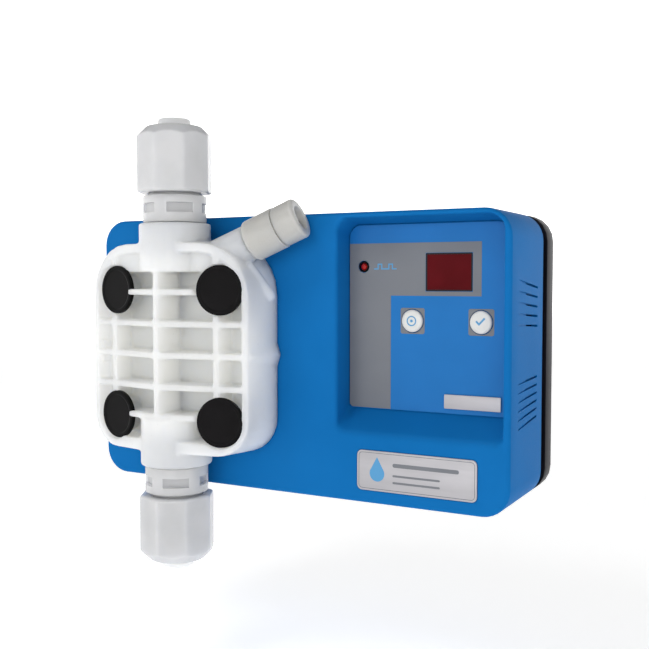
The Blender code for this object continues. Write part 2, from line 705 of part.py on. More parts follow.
def build_rear_cover():
    outer = case_outline()
    cover = place(prism("rear_cover", outer, outer, 0.0, COVER_FRONT), finish="black_plastic")
    inner = case_outline(CASE_WALL)
    hollow = place(prism("cover_hollow", inner, inner, -COVER_WALL, COVER_FRONT - PAST))
    for index, (x, z) in enumerate(corner_places()):
        boss = place(cylinder(f"cover_boss_{index}", BOSS_RADIUS, -PAST, -COVER_FRONT, segments=14),
                     rotation=FRONT, location=(x, 0.0, z))
        combine(hollow, boss)
    combine(cover, hollow)
    for index, (x, z) in enumerate(corner_places()):
        bore = place(cylinder(f"cover_bore_{index}", COVER_BORE, -PAST, PAST - COVER_FRONT,
                              segments=10),
                     rotation=FRONT, location=(x, 0.0, z))
        combine(cover, bore)
        seat = place(cylinder(f"cover_seat_{index}", COVER_SEAT_RADIUS, -PAST, COVER_SEAT_DEPTH,
                              segments=14),
                     rotation=FRONT, location=(x, 0.0, z))
        combine(cover, seat)
    for index, x in enumerate((-KEYHOLE_X, KEYHOLE_X)):
        eye = place(cylinder(f"keyhole_eye_{index}", KEYHOLE_EYE, -PAST, COVER_WALL + PAST,
                             segments=16),
                    rotation=FRONT, location=(x, 0.0, KEYHOLE_Z))
        combine(cover, eye)
        slot_length = 9.0 * MM
        slot = place(box(f"keyhole_slot_{index}", (KEYHOLE_SLOT, 2 * (COVER_WALL + PAST),
                                                   slot_length)),
                     location=(x, 0.0, KEYHOLE_Z + KEYHOLE_REACH - slot_length / 2))
        combine(cover, slot)


def build_case_screws():
    profile = [(0.0, 0.0), (CASE_SCREW_HEAD_RADIUS, 0.0),
               (CASE_SCREW_HEAD_RADIUS, -CASE_SCREW_HEAD_HEIGHT),
               (CASE_SCREW_SHANK, -CASE_SCREW_HEAD_HEIGHT),
               (CASE_SCREW_SHANK, -CASE_SCREW_LENGTH), (0.0, -CASE_SCREW_LENGTH)]
    for x, z in corner_places():
        name = f"case_screw_{corner_name(x, z)}"
        at = (x, -CASE_SCREW_SINK, z)
        place(turned(name, profile, steps=12), location=at, rotation=BACK, finish="steel")


# ---------------------------------------------------------------- control panel

def build_panel():
    front_y = PANEL_FLOOR_Y - GAP
    margin = OVERLAY_MARGIN
    corners = [radius - margin for radius in PANEL_FLOOR_CORNERS]
    outline = rounded_outline(PANEL_LEFT + margin, PANEL_RIGHT - margin,
                              PANEL_FLOOR_BOTTOM + margin, PANEL_FLOOR_TOP - margin, corners,
                              steps=3)
    overlay = place(prism("panel_overlay", outline, outline, front_y,
                          front_y - OVERLAY_THICKNESS), finish="grey_film")
    cut_depth = 3.0 * MM
    combine(overlay, place(box("window_cut", (WINDOW_WIDTH + 2 * GAP, cut_depth,
                                              WINDOW_HEIGHT + 2 * GAP)),
                           location=(WINDOW_X, front_y, WINDOW_Z)))
    for label, x, z, radius in (("lamp", LED_X, LED_Z, LAMP_CUT),
                                ("cal", CAL_KEY_X, KEY_Z, KEY_RADIUS + GAP),
                                ("set", SET_KEY_X, KEY_Z, KEY_RADIUS + GAP)):
        hole = place(cylinder(f"{label}_cut", radius, -cut_depth / 2, cut_depth / 2,
                              segments=20),
                     rotation=FRONT, location=(x, front_y, z))
        combine(overlay, hole)

    place(box("display_window", (WINDOW_WIDTH, OVERLAY_THICKNESS, WINDOW_HEIGHT)),
          location=(WINDOW_X, front_y - OVERLAY_THICKNESS / 2, WINDOW_Z), finish="red_window")

    # Each key is a disc in front of the floor with a stem through it.
    key_profile = [(0.0, KEY_THICKNESS), (KEY_RADIUS - KEY_EDGE, KEY_THICKNESS),
                   (KEY_RADIUS, KEY_THICKNESS - KEY_EDGE_DROP), (KEY_RADIUS, 0.0),
                   (KEY_STEM, 0.0),
                   (KEY_STEM, -KEY_STEM_LENGTH), (0.0, -KEY_STEM_LENGTH)]
    for name, x in (("cal_key", CAL_KEY_X), ("set_key", SET_KEY_X)):
        place(turned(name, key_profile, steps=20), rotation=FRONT,
              location=(x, PANEL_FLOOR_Y - KEY_TRAVEL - GAP, KEY_Z), finish="key_film")
    switch_front = PANEL_FLOOR_Y + KEY_STEM_LENGTH
    for name, x in (("cal_switch", CAL_KEY_X), ("set_switch", SET_KEY_X)):
        place(box(name, (SWITCH_SIZE, BOARD_Y - switch_front - GAP, SWITCH_SIZE)),
              location=(x, (switch_front + BOARD_Y - GAP) / 2, KEY_Z), finish="black_plastic")

    lens = [(0.0, LAMP_DOME), *LAMP_SHOULDERS, (LAMP_RADIUS, -LAMP_LENGTH), (0.0, -LAMP_LENGTH)]
    place(turned("status_lamp", lens, steps=20), rotation=FRONT,
          location=(LED_X, PANEL_FLOOR_Y, LED_Z), finish="red_lens")

    module_front = PANEL_FLOOR_Y + PANEL_WALL + GAP
    place(box("display_module", (MODULE_WIDTH, BOARD_Y - GAP - module_front, MODULE_HEIGHT),
              bevel=0.4 * MM, segments=1),
          location=(WINDOW_X, (module_front + BOARD_Y - GAP) / 2, WINDOW_Z),
          finish="black_plastic")
    place(box("display_board", (DISPLAY_BOARD_WIDTH, BOARD_THICKNESS, DISPLAY_BOARD_HEIGHT)),
          location=(DISPLAY_BOARD_X, BOARD_Y + BOARD_THICKNESS / 2, DISPLAY_BOARD_Z),
          finish="circuit_board")
    label_y = front_y - OVERLAY_THICKNESS - GAP - LABEL_THICKNESS / 2
    place(box("rating_label", (LABEL_WIDTH, LABEL_THICKNESS, LABEL_HEIGHT)),
          location=(LABEL_X, label_y, LABEL_Z),
          finish="silver_label")
    plate = plate_outline()
    place(prism("name_plate", plate, plate, CASE_FRONT + PLATE_THICKNESS / 2,
                CASE_FRONT - PLATE_THICKNESS / 2),
          finish="silver_label")


def build_electronics():
    place(box("main_board", (MAIN_BOARD_WIDTH, BOARD_THICKNESS, MAIN_BOARD_HEIGHT)),
          location=(MAIN_BOARD_X, MAIN_BOARD_Y + BOARD_THICKNESS / 2, 0.0), finish="circuit_board")
    front = MAIN_BOARD_Y - GAP
    at = Vector((TRANSFORMER_X, front - TRANSFORMER_RISE, TRANSFORMER_Z))
    transformer = place(box("transformer", TRANSFORMER_CORE), location=at,
                        finish="laminated_steel")
    winding = place(box("transformer_winding", TRANSFORMER_WINDING, bevel=1.5 * MM), location=at)
    combine(transformer, winding, "UNION")
    place(box("terminal_block", TERMINAL_SIZE, bevel=0.5 * MM, segments=1),
          location=(TERMINAL_X, front - TERMINAL_SIZE[1] / 2, TERMINAL_Z), finish="terminal_green")


def build_entries():
    side = Vector((-CASE_WIDTH / 2, ENTRY_Y, 0.0))
    out = towards((-1.0, 0.0, 0.0))
    # Gland: hexagonal body and a tapered dome outside, plain stem through the wall.
    body = place(cylinder("cable_gland", GLAND_HEX_RADIUS, GAP, GLAND_HEX_END, segments=6),
                 rotation=out, location=side + Vector((0.0, 0.0, GLAND_Z)), finish="black_plastic")
    stem = place(cylinder("gland_stem", GLAND_STEM_RADIUS, GLAND_STEM_END, GLAND_HEX_END / 2),
                 rotation=out, location=body.location)
    combine(body, stem, "UNION")
    dome = place(cylinder("gland_dome", GLAND_DOME_RADIUS, GLAND_HEX_END - 0.5 * MM,
                          GLAND_DOME_END, end_radius=GLAND_DOME_TIP_RADIUS),
                 rotation=out, location=body.location)
    combine(body, dome, "UNION")
    combine(body, place(cylinder("gland_bore", GLAND_BORE, GLAND_STEM_END - PAST,
                                 GLAND_DOME_END + PAST, segments=20),
                        rotation=out, location=body.location))
    # Coaxial probe socket: a barrel and flange outside, a round body through the wall.
    inner = PROBE_BARREL_RADIUS - PROBE_BARREL_WALL
    profile = [(0.0, PROBE_BARREL_FLOOR), (inner, PROBE_BARREL_FLOOR), (inner, PROBE_BARREL_END),
               (PROBE_BARREL_RADIUS, PROBE_BARREL_END), (PROBE_BARREL_RADIUS, PROBE_FLANGE_END),
               (PROBE_FLANGE_RADIUS, PROBE_FLANGE_END), (PROBE_FLANGE_RADIUS, GAP),
               (PROBE_BODY_RADIUS, GAP), (PROBE_BODY_RADIUS, PROBE_BODY_END),
               (0.0, PROBE_BODY_END)]
    place(turned("probe_socket", profile, steps=20), rotation=out,
          location=side + Vector((0.0, 0.0, PROBE_Z)), finish="steel")


# ---------------------------------------------------------------- pump head

def cap_frame(x):
    """Outward normal of the crowned front on the side of x."""
    side = 1.0 if x > 0 else -1.0
    return Vector((side * math.sin(HEAD_SLOPE), -math.cos(HEAD_SLOPE), 0.0))


def bleed_direction():
    level = math.cos(BLEED_RISE)
    return Vector((level * math.cos(BLEED_TILT), level * math.sin(BLEED_TILT),
                   math.sin(BLEED_RISE)))


def head_outline(inset=0.0, top_inset=None, bottom_inset=None):
    top_inset = inset if top_inset is None else top_inset
    bottom_inset = inset if bottom_inset is None else bottom_inset
    half = HEAD_HALF_WIDTH - inset
    low = HEAD_BOTTOM_CORNER - inset
    high = HEAD_TOP_CORNER - inset
    return rounded_outline(-half, half, HEAD_BOTTOM + bottom_inset, HEAD_TOP - top_inset,
                           (low, high, high, low), 6)


def build_pump_head(frame):
    head = place(prism("pump_head", head_outline(-HEAD_DRAFT), head_outline(), -GAP,
                       HEAD_RIDGE - HEAD_BLANK), frame, finish="clear_plastic")

    # The pockets are one inner volume, less the ribs and the screw columns.
    inner = head_outline(HEAD_RIM, HEAD_RIM_TOP, HEAD_RIM_BOTTOM)
    pockets = place(prism("pockets", inner, inner, HEAD_FLOOR, HEAD_RIDGE - 2 * HEAD_BLANK), frame)
    for index, x in enumerate(RIB_X):
        rib = place(box(f"upright_rib_{index}", (RIB_THICKNESS, SPAN, SPAN)),
                    frame, location=(x, HEAD_RIDGE, 0.0))
        combine(pockets, rib)
    for index, z in enumerate(RIB_Z):
        rib = place(box(f"cross_rib_{index}", (SPAN, SPAN, RIB_THICKNESS)),
                    frame, location=(0.0, HEAD_RIDGE, z))
        combine(pockets, rib)
    for index, (x, z) in enumerate(head_screw_places()):
        column = place(cylinder(f"column_{index}", COLUMN_RADIUS, 0.0, SPAN / 2, segments=16),
                       frame, location=(x, 0.0, z), rotation=FRONT)
        combine(pockets, column)
    web = place(box("web", (SPAN, -HEAD_WEB, SPAN)), frame,
                location=(0.0, HEAD_WEB / 2, DISCHARGE_SOCKET_START + SPAN / 2))
    combine(pockets, web)
    combine(head, pockets)

    # Small points at mid height on both flanks.
    reach = HEAD_HALF_WIDTH + HEAD_DRAFT
    for side in (-1.0, 1.0):
        tip = [(side * (reach - NUB_ROOT), -NUB_HEIGHT), (side * reach, -NUB_HEIGHT),
               (side * (reach + NUB_REACH), 0.0), (side * reach, NUB_HEIGHT),
               (side * (reach - NUB_ROOT), NUB_HEIGHT)]
        lean = [(x - side * HEAD_DRAFT, z) for x, z in tip]
        nub = place(prism(f"nub_{'right' if side > 0 else 'left'}", tip, lean, -GAP - OVERLAP,
                          NUB_FRONT), frame)
        combine(head, nub, "UNION")

    # Raised duct down the right shoulder, with a round nose at its lower end.
    duct_axis = DUCT_END - DUCT_START
    duct = place(cylinder("duct", DUCT_RADIUS, 0.0, duct_axis.length, 12), frame,
                 location=DUCT_START, rotation=towards(duct_axis))
    combine(head, duct, "UNION")
    nose = bmesh.new()
    bmesh.ops.create_uvsphere(nose, u_segments=12, v_segments=6, radius=DUCT_RADIUS + 0.02 * MM)
    combine(head, place(finish_mesh("duct_nose", nose), frame, location=DUCT_END), "UNION")

    # Crown: everything in front of two planes that meet at the ridge is cut away.
    for side in (-1.0, 1.0):
        turn = Matrix.Rotation(side * HEAD_SLOPE, 3, "Z")
        shift = Vector((side * CROWN_SHIFT, -CROWN_SLAB[1] / 2, 0.0))
        centre = Vector((0.0, HEAD_RIDGE, 0.0)) + turn @ shift
        crown = place(box(f"crown_{'right' if side > 0 else 'left'}", CROWN_SLAB), frame,
                      location=centre, rotation=turn)
        combine(head, crown)

    # Neck that carries the bleed valve.
    axis = towards(bleed_direction())
    neck = place(cylinder("bleed_neck", BLEED_NECK_FOOT_RADIUS, BLEED_NECK_START,
                          BLEED_START - GAP, segments=20, end_radius=BLEED_NECK_RADIUS), frame,
                 location=BLEED_FOOT, rotation=axis)
    combine(head, neck, "UNION")
    combine(head, place(cylinder("bleed_neck_bore", BLEED_NECK_BORE, BLEED_NECK_BORE_START,
                                 BLEED_START + PAST, segments=20),
                        frame, location=BLEED_FOOT, rotation=axis))

    # Seats that the screw caps close.
    for index, (x, z) in enumerate(head_screw_places()):
        normal = cap_frame(x)
        front_point = Vector((x, CAP_FRONT, z))
        seat = place(cylinder(f"cap_seat_{index}", CAP_RADIUS + GAP, -CAP_THICKNESS - GAP,
                              SPAN / 5), frame, location=front_point,
                     rotation=towards(normal))
        combine(head, seat)

    # Sockets of the two valves.
    chamfer = SOCKET_CHAMFER
    upper = [(0.0, DISCHARGE_SOCKET_END), (SOCKET_RADIUS - chamfer, DISCHARGE_SOCKET_END),
             (SOCKET_RADIUS, DISCHARGE_SOCKET_END - chamfer),
             (SOCKET_RADIUS, DISCHARGE_SOCKET_START), (0.0, DISCHARGE_SOCKET_START)]
    lower = [(0.0, SUCTION_SOCKET_START), (SOCKET_RADIUS, SUCTION_SOCKET_START),
             (SOCKET_RADIUS, SUCTION_SOCKET_END + chamfer),
             (SOCKET_RADIUS - chamfer, SUCTION_SOCKET_END), (0.0, SUCTION_SOCKET_END)]
    for name, profile in (("discharge_socket", upper), ("suction_socket", lower)):
        combine(head, place(turned(name, profile, steps=32), frame, location=(0.0, VALVE_Y, 0.0)),
                "UNION")

    # Valve bores and the passages to the diaphragm chamber.
    for label, end, sign in (("discharge", DISCHARGE_SOCKET_END, 1.0),
                             ("suction", SUCTION_SOCKET_END, -1.0)):
        outward = UP if sign > 0 else DOWN
        combine(head, place(cylinder(f"{label}_bore", SOCKET_BORE, -SOCKET_DEPTH, PAST),
                            frame, location=(0.0, VALVE_Y, end), rotation=outward))
        inner_end = end - sign * SOCKET_DEPTH
        run = place(cylinder(f"{label}_passage", PASSAGE_RADIUS, -PAST,
                             abs(inner_end) - PORT_Z + 1.5 * MM, segments=14), frame,
                    location=(0.0, PASSAGE_Y, inner_end), rotation=DOWN if sign > 0 else UP)
        combine(head, run)
        port = place(cylinder(f"{label}_port", PORT_RADIUS, DIAPHRAGM_SEAT_DEPTH,
                              -PASSAGE_Y + 0.5 * MM, segments=14), frame,
                     location=(0.0, 0.0, sign * PORT_Z), rotation=FRONT)
        combine(head, port)

    # Seat of the diaphragm and the shallow chamber in front of it.
    rim = DIAPHRAGM_RADIUS + GAP
    seat = [(0.0, CHAMBER_DEPTH), (CHAMBER_FLOOR_RADIUS, CHAMBER_DEPTH),
            (CHAMBER_RADIUS, DIAPHRAGM_SEAT_DEPTH), (rim, DIAPHRAGM_SEAT_DEPTH), (rim, -PAST),
            (0.0, -PAST)]
    combine(head, place(turned("diaphragm_seat", seat, steps=28), frame, rotation=FRONT))

    for index, (x, z) in enumerate(head_screw_places()):
        through = place(cylinder(f"head_bore_{index}", HEAD_BORE, -PAST, SPAN / 2,
                                 segments=12), frame,
                        location=(x, 0.0, z), rotation=FRONT)
        combine(head, through)
        sink = place(cylinder(f"head_sink_{index}", HEAD_SINK_RADIUS, HEAD_SINK_START, SPAN / 2,
                              segments=16), frame,
                     location=(x, 0.0, z), rotation=FRONT)
        combine(head, sink)


def build_head_fasteners(frame):
    head_front = HEAD_SCREW_HEAD_END
    profile = [(0.0, head_front), (HEAD_SCREW_HEAD_RADIUS, head_front),
               (HEAD_SCREW_HEAD_RADIUS, HEAD_SCREW_HEAD_START),
               (HEAD_SCREW_SHANK, HEAD_SCREW_HEAD_START), (HEAD_SCREW_SHANK, HEAD_SCREW_END),
               (0.0, HEAD_SCREW_END)]
    for x, z in head_screw_places():
        name = f"head_screw_{corner_name(x, z)}"
        screw = place(turned(name, profile, steps=14), frame, location=(x, 0.0, z),
                      rotation=FRONT, finish="steel")
        combine(screw, place(cylinder(f"{name}_socket", HEAD_SCREW_SOCKET_RADIUS,
                                      head_front - HEAD_SCREW_SOCKET_DEPTH, head_front + PAST,
                                      segments=6), frame,
                             location=(x, 0.0, z), rotation=FRONT))

    back = -CAP_THICKNESS - CAP_PLUG
    cap = [(0.0, 0.0), (CAP_RADIUS - CAP_RIM, 0.0), (CAP_RADIUS, -CAP_RIM),
           (CAP_RADIUS, -CAP_THICKNESS), (CAP_PLUG_RADIUS, -CAP_THICKNESS),
           (CAP_PLUG_TIP_RADIUS, back), (0.0, back)]
    for x, z in head_screw_places():
        place(turned(f"screw_cap_{corner_name(x, z)}", cap), frame,
              location=(x, CAP_FRONT, z),
              rotation=towards(cap_frame(x)), finish="black_plastic")


# ---------------------------------------------------------------- valves

def build_valve(label, frame, end, upward, window_angle):
    """One ball valve with its tube nut; distances run outward from the socket end."""
    outward = UP if upward else DOWN
    along = 1.0 if upward else -1.0
    origin = (0.0, VALVE_Y, end)
    inner_end = -SOCKET_DEPTH + BODY_START
    stem = SOCKET_BORE - GAP
    bore = TUBE_BORE + 0.5 * MM
    profile = [
        (bore, BODY_END), (NECK_RADIUS, BODY_END), (NECK_RADIUS, COLLAR_END),
        (COLLAR_RADIUS, COLLAR_END), (COLLAR_RADIUS, GAP), (stem, GAP), (stem, GROOVE_END),
        (GROOVE_RADIUS, GROOVE_END), (GROOVE_RADIUS, GROOVE_START), (stem, GROOVE_START),
        (stem, inner_end), (BODY_BORE, inner_end), (BODY_BORE, BODY_LEDGE), (bore, BODY_LEDGE),
    ]
    body = place(turned(f"{label}_valve_body", profile, closed=True), frame, location=origin,
                 rotation=outward, finish="clear_plastic")
    for index in range(WINDOWS):
        turn = Matrix.Rotation(window_angle + 2.0 * math.pi * index / WINDOWS, 3, "Z")
        centre = Vector((COLLAR_RADIUS, 0.0, along * WINDOW_MIDDLE))
        window = place(box(f"{label}_window_{index}", WINDOW_SIZE), frame,
                       location=Vector(origin) + turn @ centre, rotation=turn)
        combine(body, window)

    ring_at = Vector(origin) + outward @ Vector((0.0, 0.0, (GROOVE_END + GROOVE_START) / 2))
    place(ring(f"{label}_o_ring", O_RING_RADIUS, O_RING_SECTION, steps=20, section_steps=5),
          frame, location=ring_at, rotation=outward, finish="rubber")

    # The ball always rests on the upstream side and lifts with the flow, which is upwards.
    insert_radius = BODY_BORE - GAP
    cage_bore = BALL_RADIUS + 0.5 * MM
    rest = math.sqrt(BALL_RADIUS ** 2 - SEAT_HOLE ** 2) + GAP
    seat_far = DISCHARGE_SEAT if upward else SUCTION_SEAT
    seat_profile = [(SEAT_HOLE, SEAT_DEPTH / 2), (insert_radius, SEAT_DEPTH / 2),
                    (insert_radius, -SEAT_DEPTH / 2), (SEAT_HOLE, -SEAT_DEPTH / 2)]
    seat_centre = seat_far - along * SEAT_DEPTH / 2
    base = Vector(origin)
    up_axis = outward @ Vector((0.0, 0.0, 1.0))
    place(turned(f"{label}_valve_seat", seat_profile, steps=20, closed=True), frame,
          location=base + up_axis * seat_centre, rotation=outward, finish="ptfe")
    ball_at = seat_far + along * rest
    bm = bmesh.new()
    bmesh.ops.create_uvsphere(bm, u_segments=16, v_segments=8, radius=BALL_RADIUS)
    place(finish_mesh(f"{label}_ball", bm), frame, location=base + up_axis * ball_at,
          finish="ceramic")
    tube_start = seat_far + along * GAP
    tube_end = ball_at + along * (BALL_RADIUS + BALL_LIFT + GAP)
    lip_end = tube_end + along * CAGE_LIP
    cage = [(CAGE_LIP_RADIUS, lip_end), (insert_radius, lip_end), (insert_radius, tube_start),
            (cage_bore, tube_start), (cage_bore, tube_end), (CAGE_LIP_RADIUS, tube_end)]
    if not upward:
        cage.reverse()
    place(turned(f"{label}_ball_cage", cage, steps=20, closed=True), frame, location=origin,
          rotation=outward, finish="white_plastic")

    # Clamp nut and the insert that takes the tube; both move together along the thread.
    insert_flange = NECK_RADIUS - 0.2 * MM
    start = BODY_END + GAP
    tip = [(radius, INSERT_END - depth) for radius, depth in INSERT_TIP]
    insert = [(TUBE_BORE, INSERT_END), *tip, (INSERT_RADIUS, start + INSERT_CONE_END),
              (insert_flange, start + INSERT_CONE_START), (insert_flange, start),
              (TUBE_BORE, start)]
    place(turned(f"{label}_tube_insert", insert, closed=True), frame, location=origin,
          rotation=outward, finish="white_plastic")
    nut = place(octagon_nut(f"{label}_tube_nut", along * NUT_TURN), frame, location=origin,
                rotation=outward, finish="white_plastic")
    crown = [(0.0, NUT_END + PAST), (CROWN_RADIUS - PAST, NUT_END + PAST),
             (CROWN_RADIUS, NUT_END), (CROWN_FOOT_RADIUS, NUT_END - CROWN_HEIGHT),
             (CROWN_FOOT_RADIUS, NUT_START - PAST), (0.0, NUT_START - PAST)]
    combine(nut, place(turned(f"{label}_nut_envelope", crown, steps=32), frame, location=origin,
                       rotation=outward), "INTERSECT")
    hole = INSERT_RADIUS + GAP
    bore = [(0.0, NUT_END + PAST), (hole, NUT_END + PAST), (hole, start + NUT_HOLE_DEPTH),
            (NUT_BORE, start + NUT_BORE_DEPTH), (NUT_BORE, NUT_START - PAST),
            (0.0, NUT_START - PAST)]
    combine(nut, place(turned(f"{label}_nut_bore", bore), frame, location=origin,
                       rotation=outward))


def octagon_nut(name, turn):
    """Octagonal prism with its upright edges and its near rim slightly broken."""
    bm = bmesh.new()
    bmesh.ops.create_cone(bm, cap_ends=True, segments=8, radius1=NUT_RADIUS,
                          radius2=NUT_RADIUS, depth=NUT_END - NUT_START)
    bmesh.ops.rotate(bm, verts=bm.verts, matrix=Matrix.Rotation(turn, 3, "Z"))
    bmesh.ops.translate(bm, vec=(0.0, 0.0, (NUT_START + NUT_END) / 2), verts=list(bm.verts))
    upright = [edge for edge in bm.edges
               if abs(edge.verts[0].co.z - edge.verts[1].co.z) > 1.0 * MM]
    bmesh.ops.bevel(bm, geom=upright, offset=NUT_CORNER, segments=1, affect="EDGES")
    rim = [edge for edge in bm.edges
           if all(abs(vert.co.z - NUT_START) < 1e-6 for vert in edge.verts)]
    bmesh.ops.bevel(bm, geom=rim, offset=NUT_RIM, segments=1, affect="EDGES")
    return finish_mesh(name, bm, 20.0)


def build_bleed_valve(frame):
    axis = towards(bleed_direction())
    foot = BLEED_FOOT
    stem = BLEED_NECK_BORE - GAP
    foot_end = BLEED_START - BLEED_STEM_LENGTH
    body = [(BLEED_BORE, BLEED_SEAM - GAP), (BLEED_RADIUS, BLEED_SEAM - GAP),
            (BLEED_RADIUS, BLEED_START + BLEED_CHAMFER), (BLEED_RADIUS - BLEED_CHAMFER, BLEED_START),
            (stem, BLEED_START), (stem, foot_end), (BLEED_ORIFICE, foot_end),
            (BLEED_ORIFICE, BLEED_START - BLEED_ORIFICE_END),
            (BLEED_BORE, BLEED_START - BLEED_CONE_END)]
    place(turned("bleed_valve_body", body, closed=True), frame, location=foot, rotation=axis,
          finish="clear_plastic")
    knob = [(KNOB_MOUTH_FLOOR_RADIUS, BLEED_SEAM + KNOB_MOUTH_FLOOR), (KNOB_MOUTH_RADIUS, BLEED_END),
            (KNOB_RADIUS - KNOB_CHAMFER, BLEED_END), (KNOB_RADIUS, BLEED_END - KNOB_CHAMFER),
            (KNOB_RADIUS, BLEED_SEAM), (KNOB_MOUTH_FLOOR_RADIUS, BLEED_SEAM)]
    place(turned("bleed_knob", knob, closed=True), frame, location=foot, rotation=axis,
          finish="clear_plastic")
    needle_top = BLEED_SEAM - 0.2 * MM
    rod = BLEED_BORE - GAP
    hollow_end = BLEED_START - NEEDLE_HOLLOW_DEPTH
    tip_end = BLEED_START - NEEDLE_TIP_DEPTH
    needle = [(0.0, hollow_end), (NEEDLE_HOLLOW, hollow_end), (NEEDLE_HOLLOW, needle_top),
              (rod, needle_top), (rod, BLEED_START - NEEDLE_CONE_DEPTH),
              (NEEDLE_TIP_RADIUS, tip_end), (0.0, tip_end)]
    place(turned("bleed_needle", needle, steps=16), frame, location=foot, rotation=axis,
          finish="steel")


# ---------------------------------------------------------------- drive

def build_drive(frame):
    # Local Z of these turned pieces points forwards, so depths behind the case front are negative.
    place(tube("backing_plate", OPENING_RADIUS - GAP, BACKING_BORE, -BACKING_THICKNESS, 0.0,
               steps=36), frame, rotation=FRONT, finish="steel")
    front_bends = list(DIAPHRAGM_BENDS)
    back_bends = [(radius, height - DIAPHRAGM_WEB) for radius, height in reversed(DIAPHRAGM_BENDS)]
    diaphragm = [(0.0, DIAPHRAGM_BOSS_FRONT), (DIAPHRAGM_BOSS_RADIUS, DIAPHRAGM_BOSS_FRONT),
                 *front_bends, (CHAMBER_RADIUS, DIAPHRAGM_FLANGE_FRONT),
                 (DIAPHRAGM_RADIUS, DIAPHRAGM_FLANGE_FRONT), (DIAPHRAGM_RADIUS, GAP),
                 (CHAMBER_RADIUS, GAP), *back_bends, (DIAPHRAGM_BOSS_RADIUS, DIAPHRAGM_BOSS_BACK),
                 (DIAPHRAGM_BORE, DIAPHRAGM_BOSS_BACK), (DIAPHRAGM_BORE, DIAPHRAGM_BORE_END),
                 (0.0, DIAPHRAGM_BORE_END)]
    place(turned("diaphragm", diaphragm, steps=28), frame, rotation=FRONT, finish="ptfe")
    hub_bore = ROD_RADIUS + GAP
    hub = [(0.0, HUB_PIN_FRONT), (HUB_PIN_RADIUS, HUB_PIN_FRONT), (HUB_PIN_RADIUS, HUB_DISC_FRONT),
           (HUB_DISC_RADIUS, HUB_DISC_FRONT), (HUB_DISC_RADIUS, HUB_DISC_BACK),
           (HUB_COLLAR_RADIUS, HUB_DISC_BACK), (HUB_COLLAR_RADIUS, HUB_COLLAR_BACK),
           (hub_bore, HUB_COLLAR_BACK), (hub_bore, HUB_BORE_END), (0.0, HUB_BORE_END)]
    place(turned("diaphragm_hub", hub, steps=20), frame, rotation=FRONT, finish="steel")

    plate_size = (MOUNTING_PLATE_SIZE, MOUNTING_PLATE_THICKNESS, MOUNTING_PLATE_SIZE)
    plate_y = CASE_WALL + GAP + MOUNTING_PLATE_THICKNESS / 2
    plate = place(box("mounting_plate", plate_size), frame, location=(0.0, plate_y, 0.0),
                  finish="steel")
    plate_end = -2 * plate_y
    combine(plate, place(cylinder("plate_hole", MOUNTING_PLATE_HOLE, plate_end, 0.0), frame,
                         rotation=FRONT))
    for index, (x, z) in enumerate(head_screw_places()):
        combine(plate, place(cylinder(f"plate_bore_{index}", HEAD_BORE, plate_end, 0.0,
                                      segments=12), frame,
                             location=(x, 0.0, z), rotation=FRONT))

    yoke_depth = YOKE_BACK - YOKE_FRONT
    middle = (YOKE_BACK + YOKE_FRONT) / 2
    yoke = place(box("solenoid_yoke", (YOKE_WIDTH, yoke_depth, YOKE_HEIGHT)), frame,
                 location=(0.0, middle, 0.0), finish="laminated_steel")
    combine(yoke, place(box("yoke_window", (YOKE_WIDTH - 2 * YOKE_WALL,
                                            yoke_depth - 2 * YOKE_WALL, YOKE_HEIGHT + 2 * PAST)),
                        frame, location=(0.0, middle, 0.0)))
    combine(yoke, place(cylinder("yoke_hole", CORE_RADIUS + GAP, -YOKE_BACK - PAST, 0.0),
                        frame, rotation=FRONT))

    bobbin_front = -(YOKE_FRONT + YOKE_WALL + GAP)
    bobbin_back = -(YOKE_BACK - YOKE_WALL - GAP)
    bore = CORE_RADIUS + GAP
    barrel = bore + BOBBIN_WALL
    flange = BOBBIN_FLANGE
    cheek = BOBBIN_CHEEK
    bobbin = [(bore, bobbin_front), (flange, bobbin_front), (flange, bobbin_front - cheek),
              (barrel, bobbin_front - cheek), (barrel, bobbin_back + cheek),
              (flange, bobbin_back + cheek), (flange, bobbin_back), (bore, bobbin_back)]
    place(turned("coil_bobbin", bobbin, closed=True), frame, rotation=FRONT,
          finish="white_plastic")
    place(tube("coil_winding", WINDING_RADIUS, barrel + GAP, bobbin_back + cheek + GAP,
               bobbin_front - cheek - GAP), frame, rotation=FRONT, finish="copper")

    pocket = SPRING_POCKET_RADIUS
    pocket_front = POLE_BACK + SPRING_POCKET_DEPTH
    pole = [(hub_bore, -YOKE_FRONT), (CORE_RADIUS, -YOKE_FRONT), (CORE_RADIUS, POLE_BACK),
            (pocket, POLE_BACK), (pocket, pocket_front), (hub_bore, pocket_front)]
    place(turned("pole_core", pole, steps=20, closed=True), frame, rotation=FRONT, finish="steel")
    armature_front = POLE_BACK - STROKE - ARMATURE_REST_GAP
    pocket_back = armature_front - SPRING_POCKET_DEPTH
    armature = [(0.0, ROD_END - GAP), (hub_bore, ROD_END - GAP), (hub_bore, pocket_back),
                (pocket, pocket_back), (pocket, armature_front),
                (ARMATURE_RADIUS, armature_front), (ARMATURE_RADIUS, ARMATURE_BACK),
                (0.0, ARMATURE_BACK)]
    place(turned("armature", armature, steps=20), frame, rotation=FRONT, finish="steel")
    place(cylinder("push_rod", ROD_RADIUS, ROD_END, ROD_FRONT, segments=16), frame,
          rotation=FRONT, finish="steel")
    place_spring(frame, SPRING_RADIUS, SPRING_WIRE, pocket_back + GAP, pocket_front - GAP)


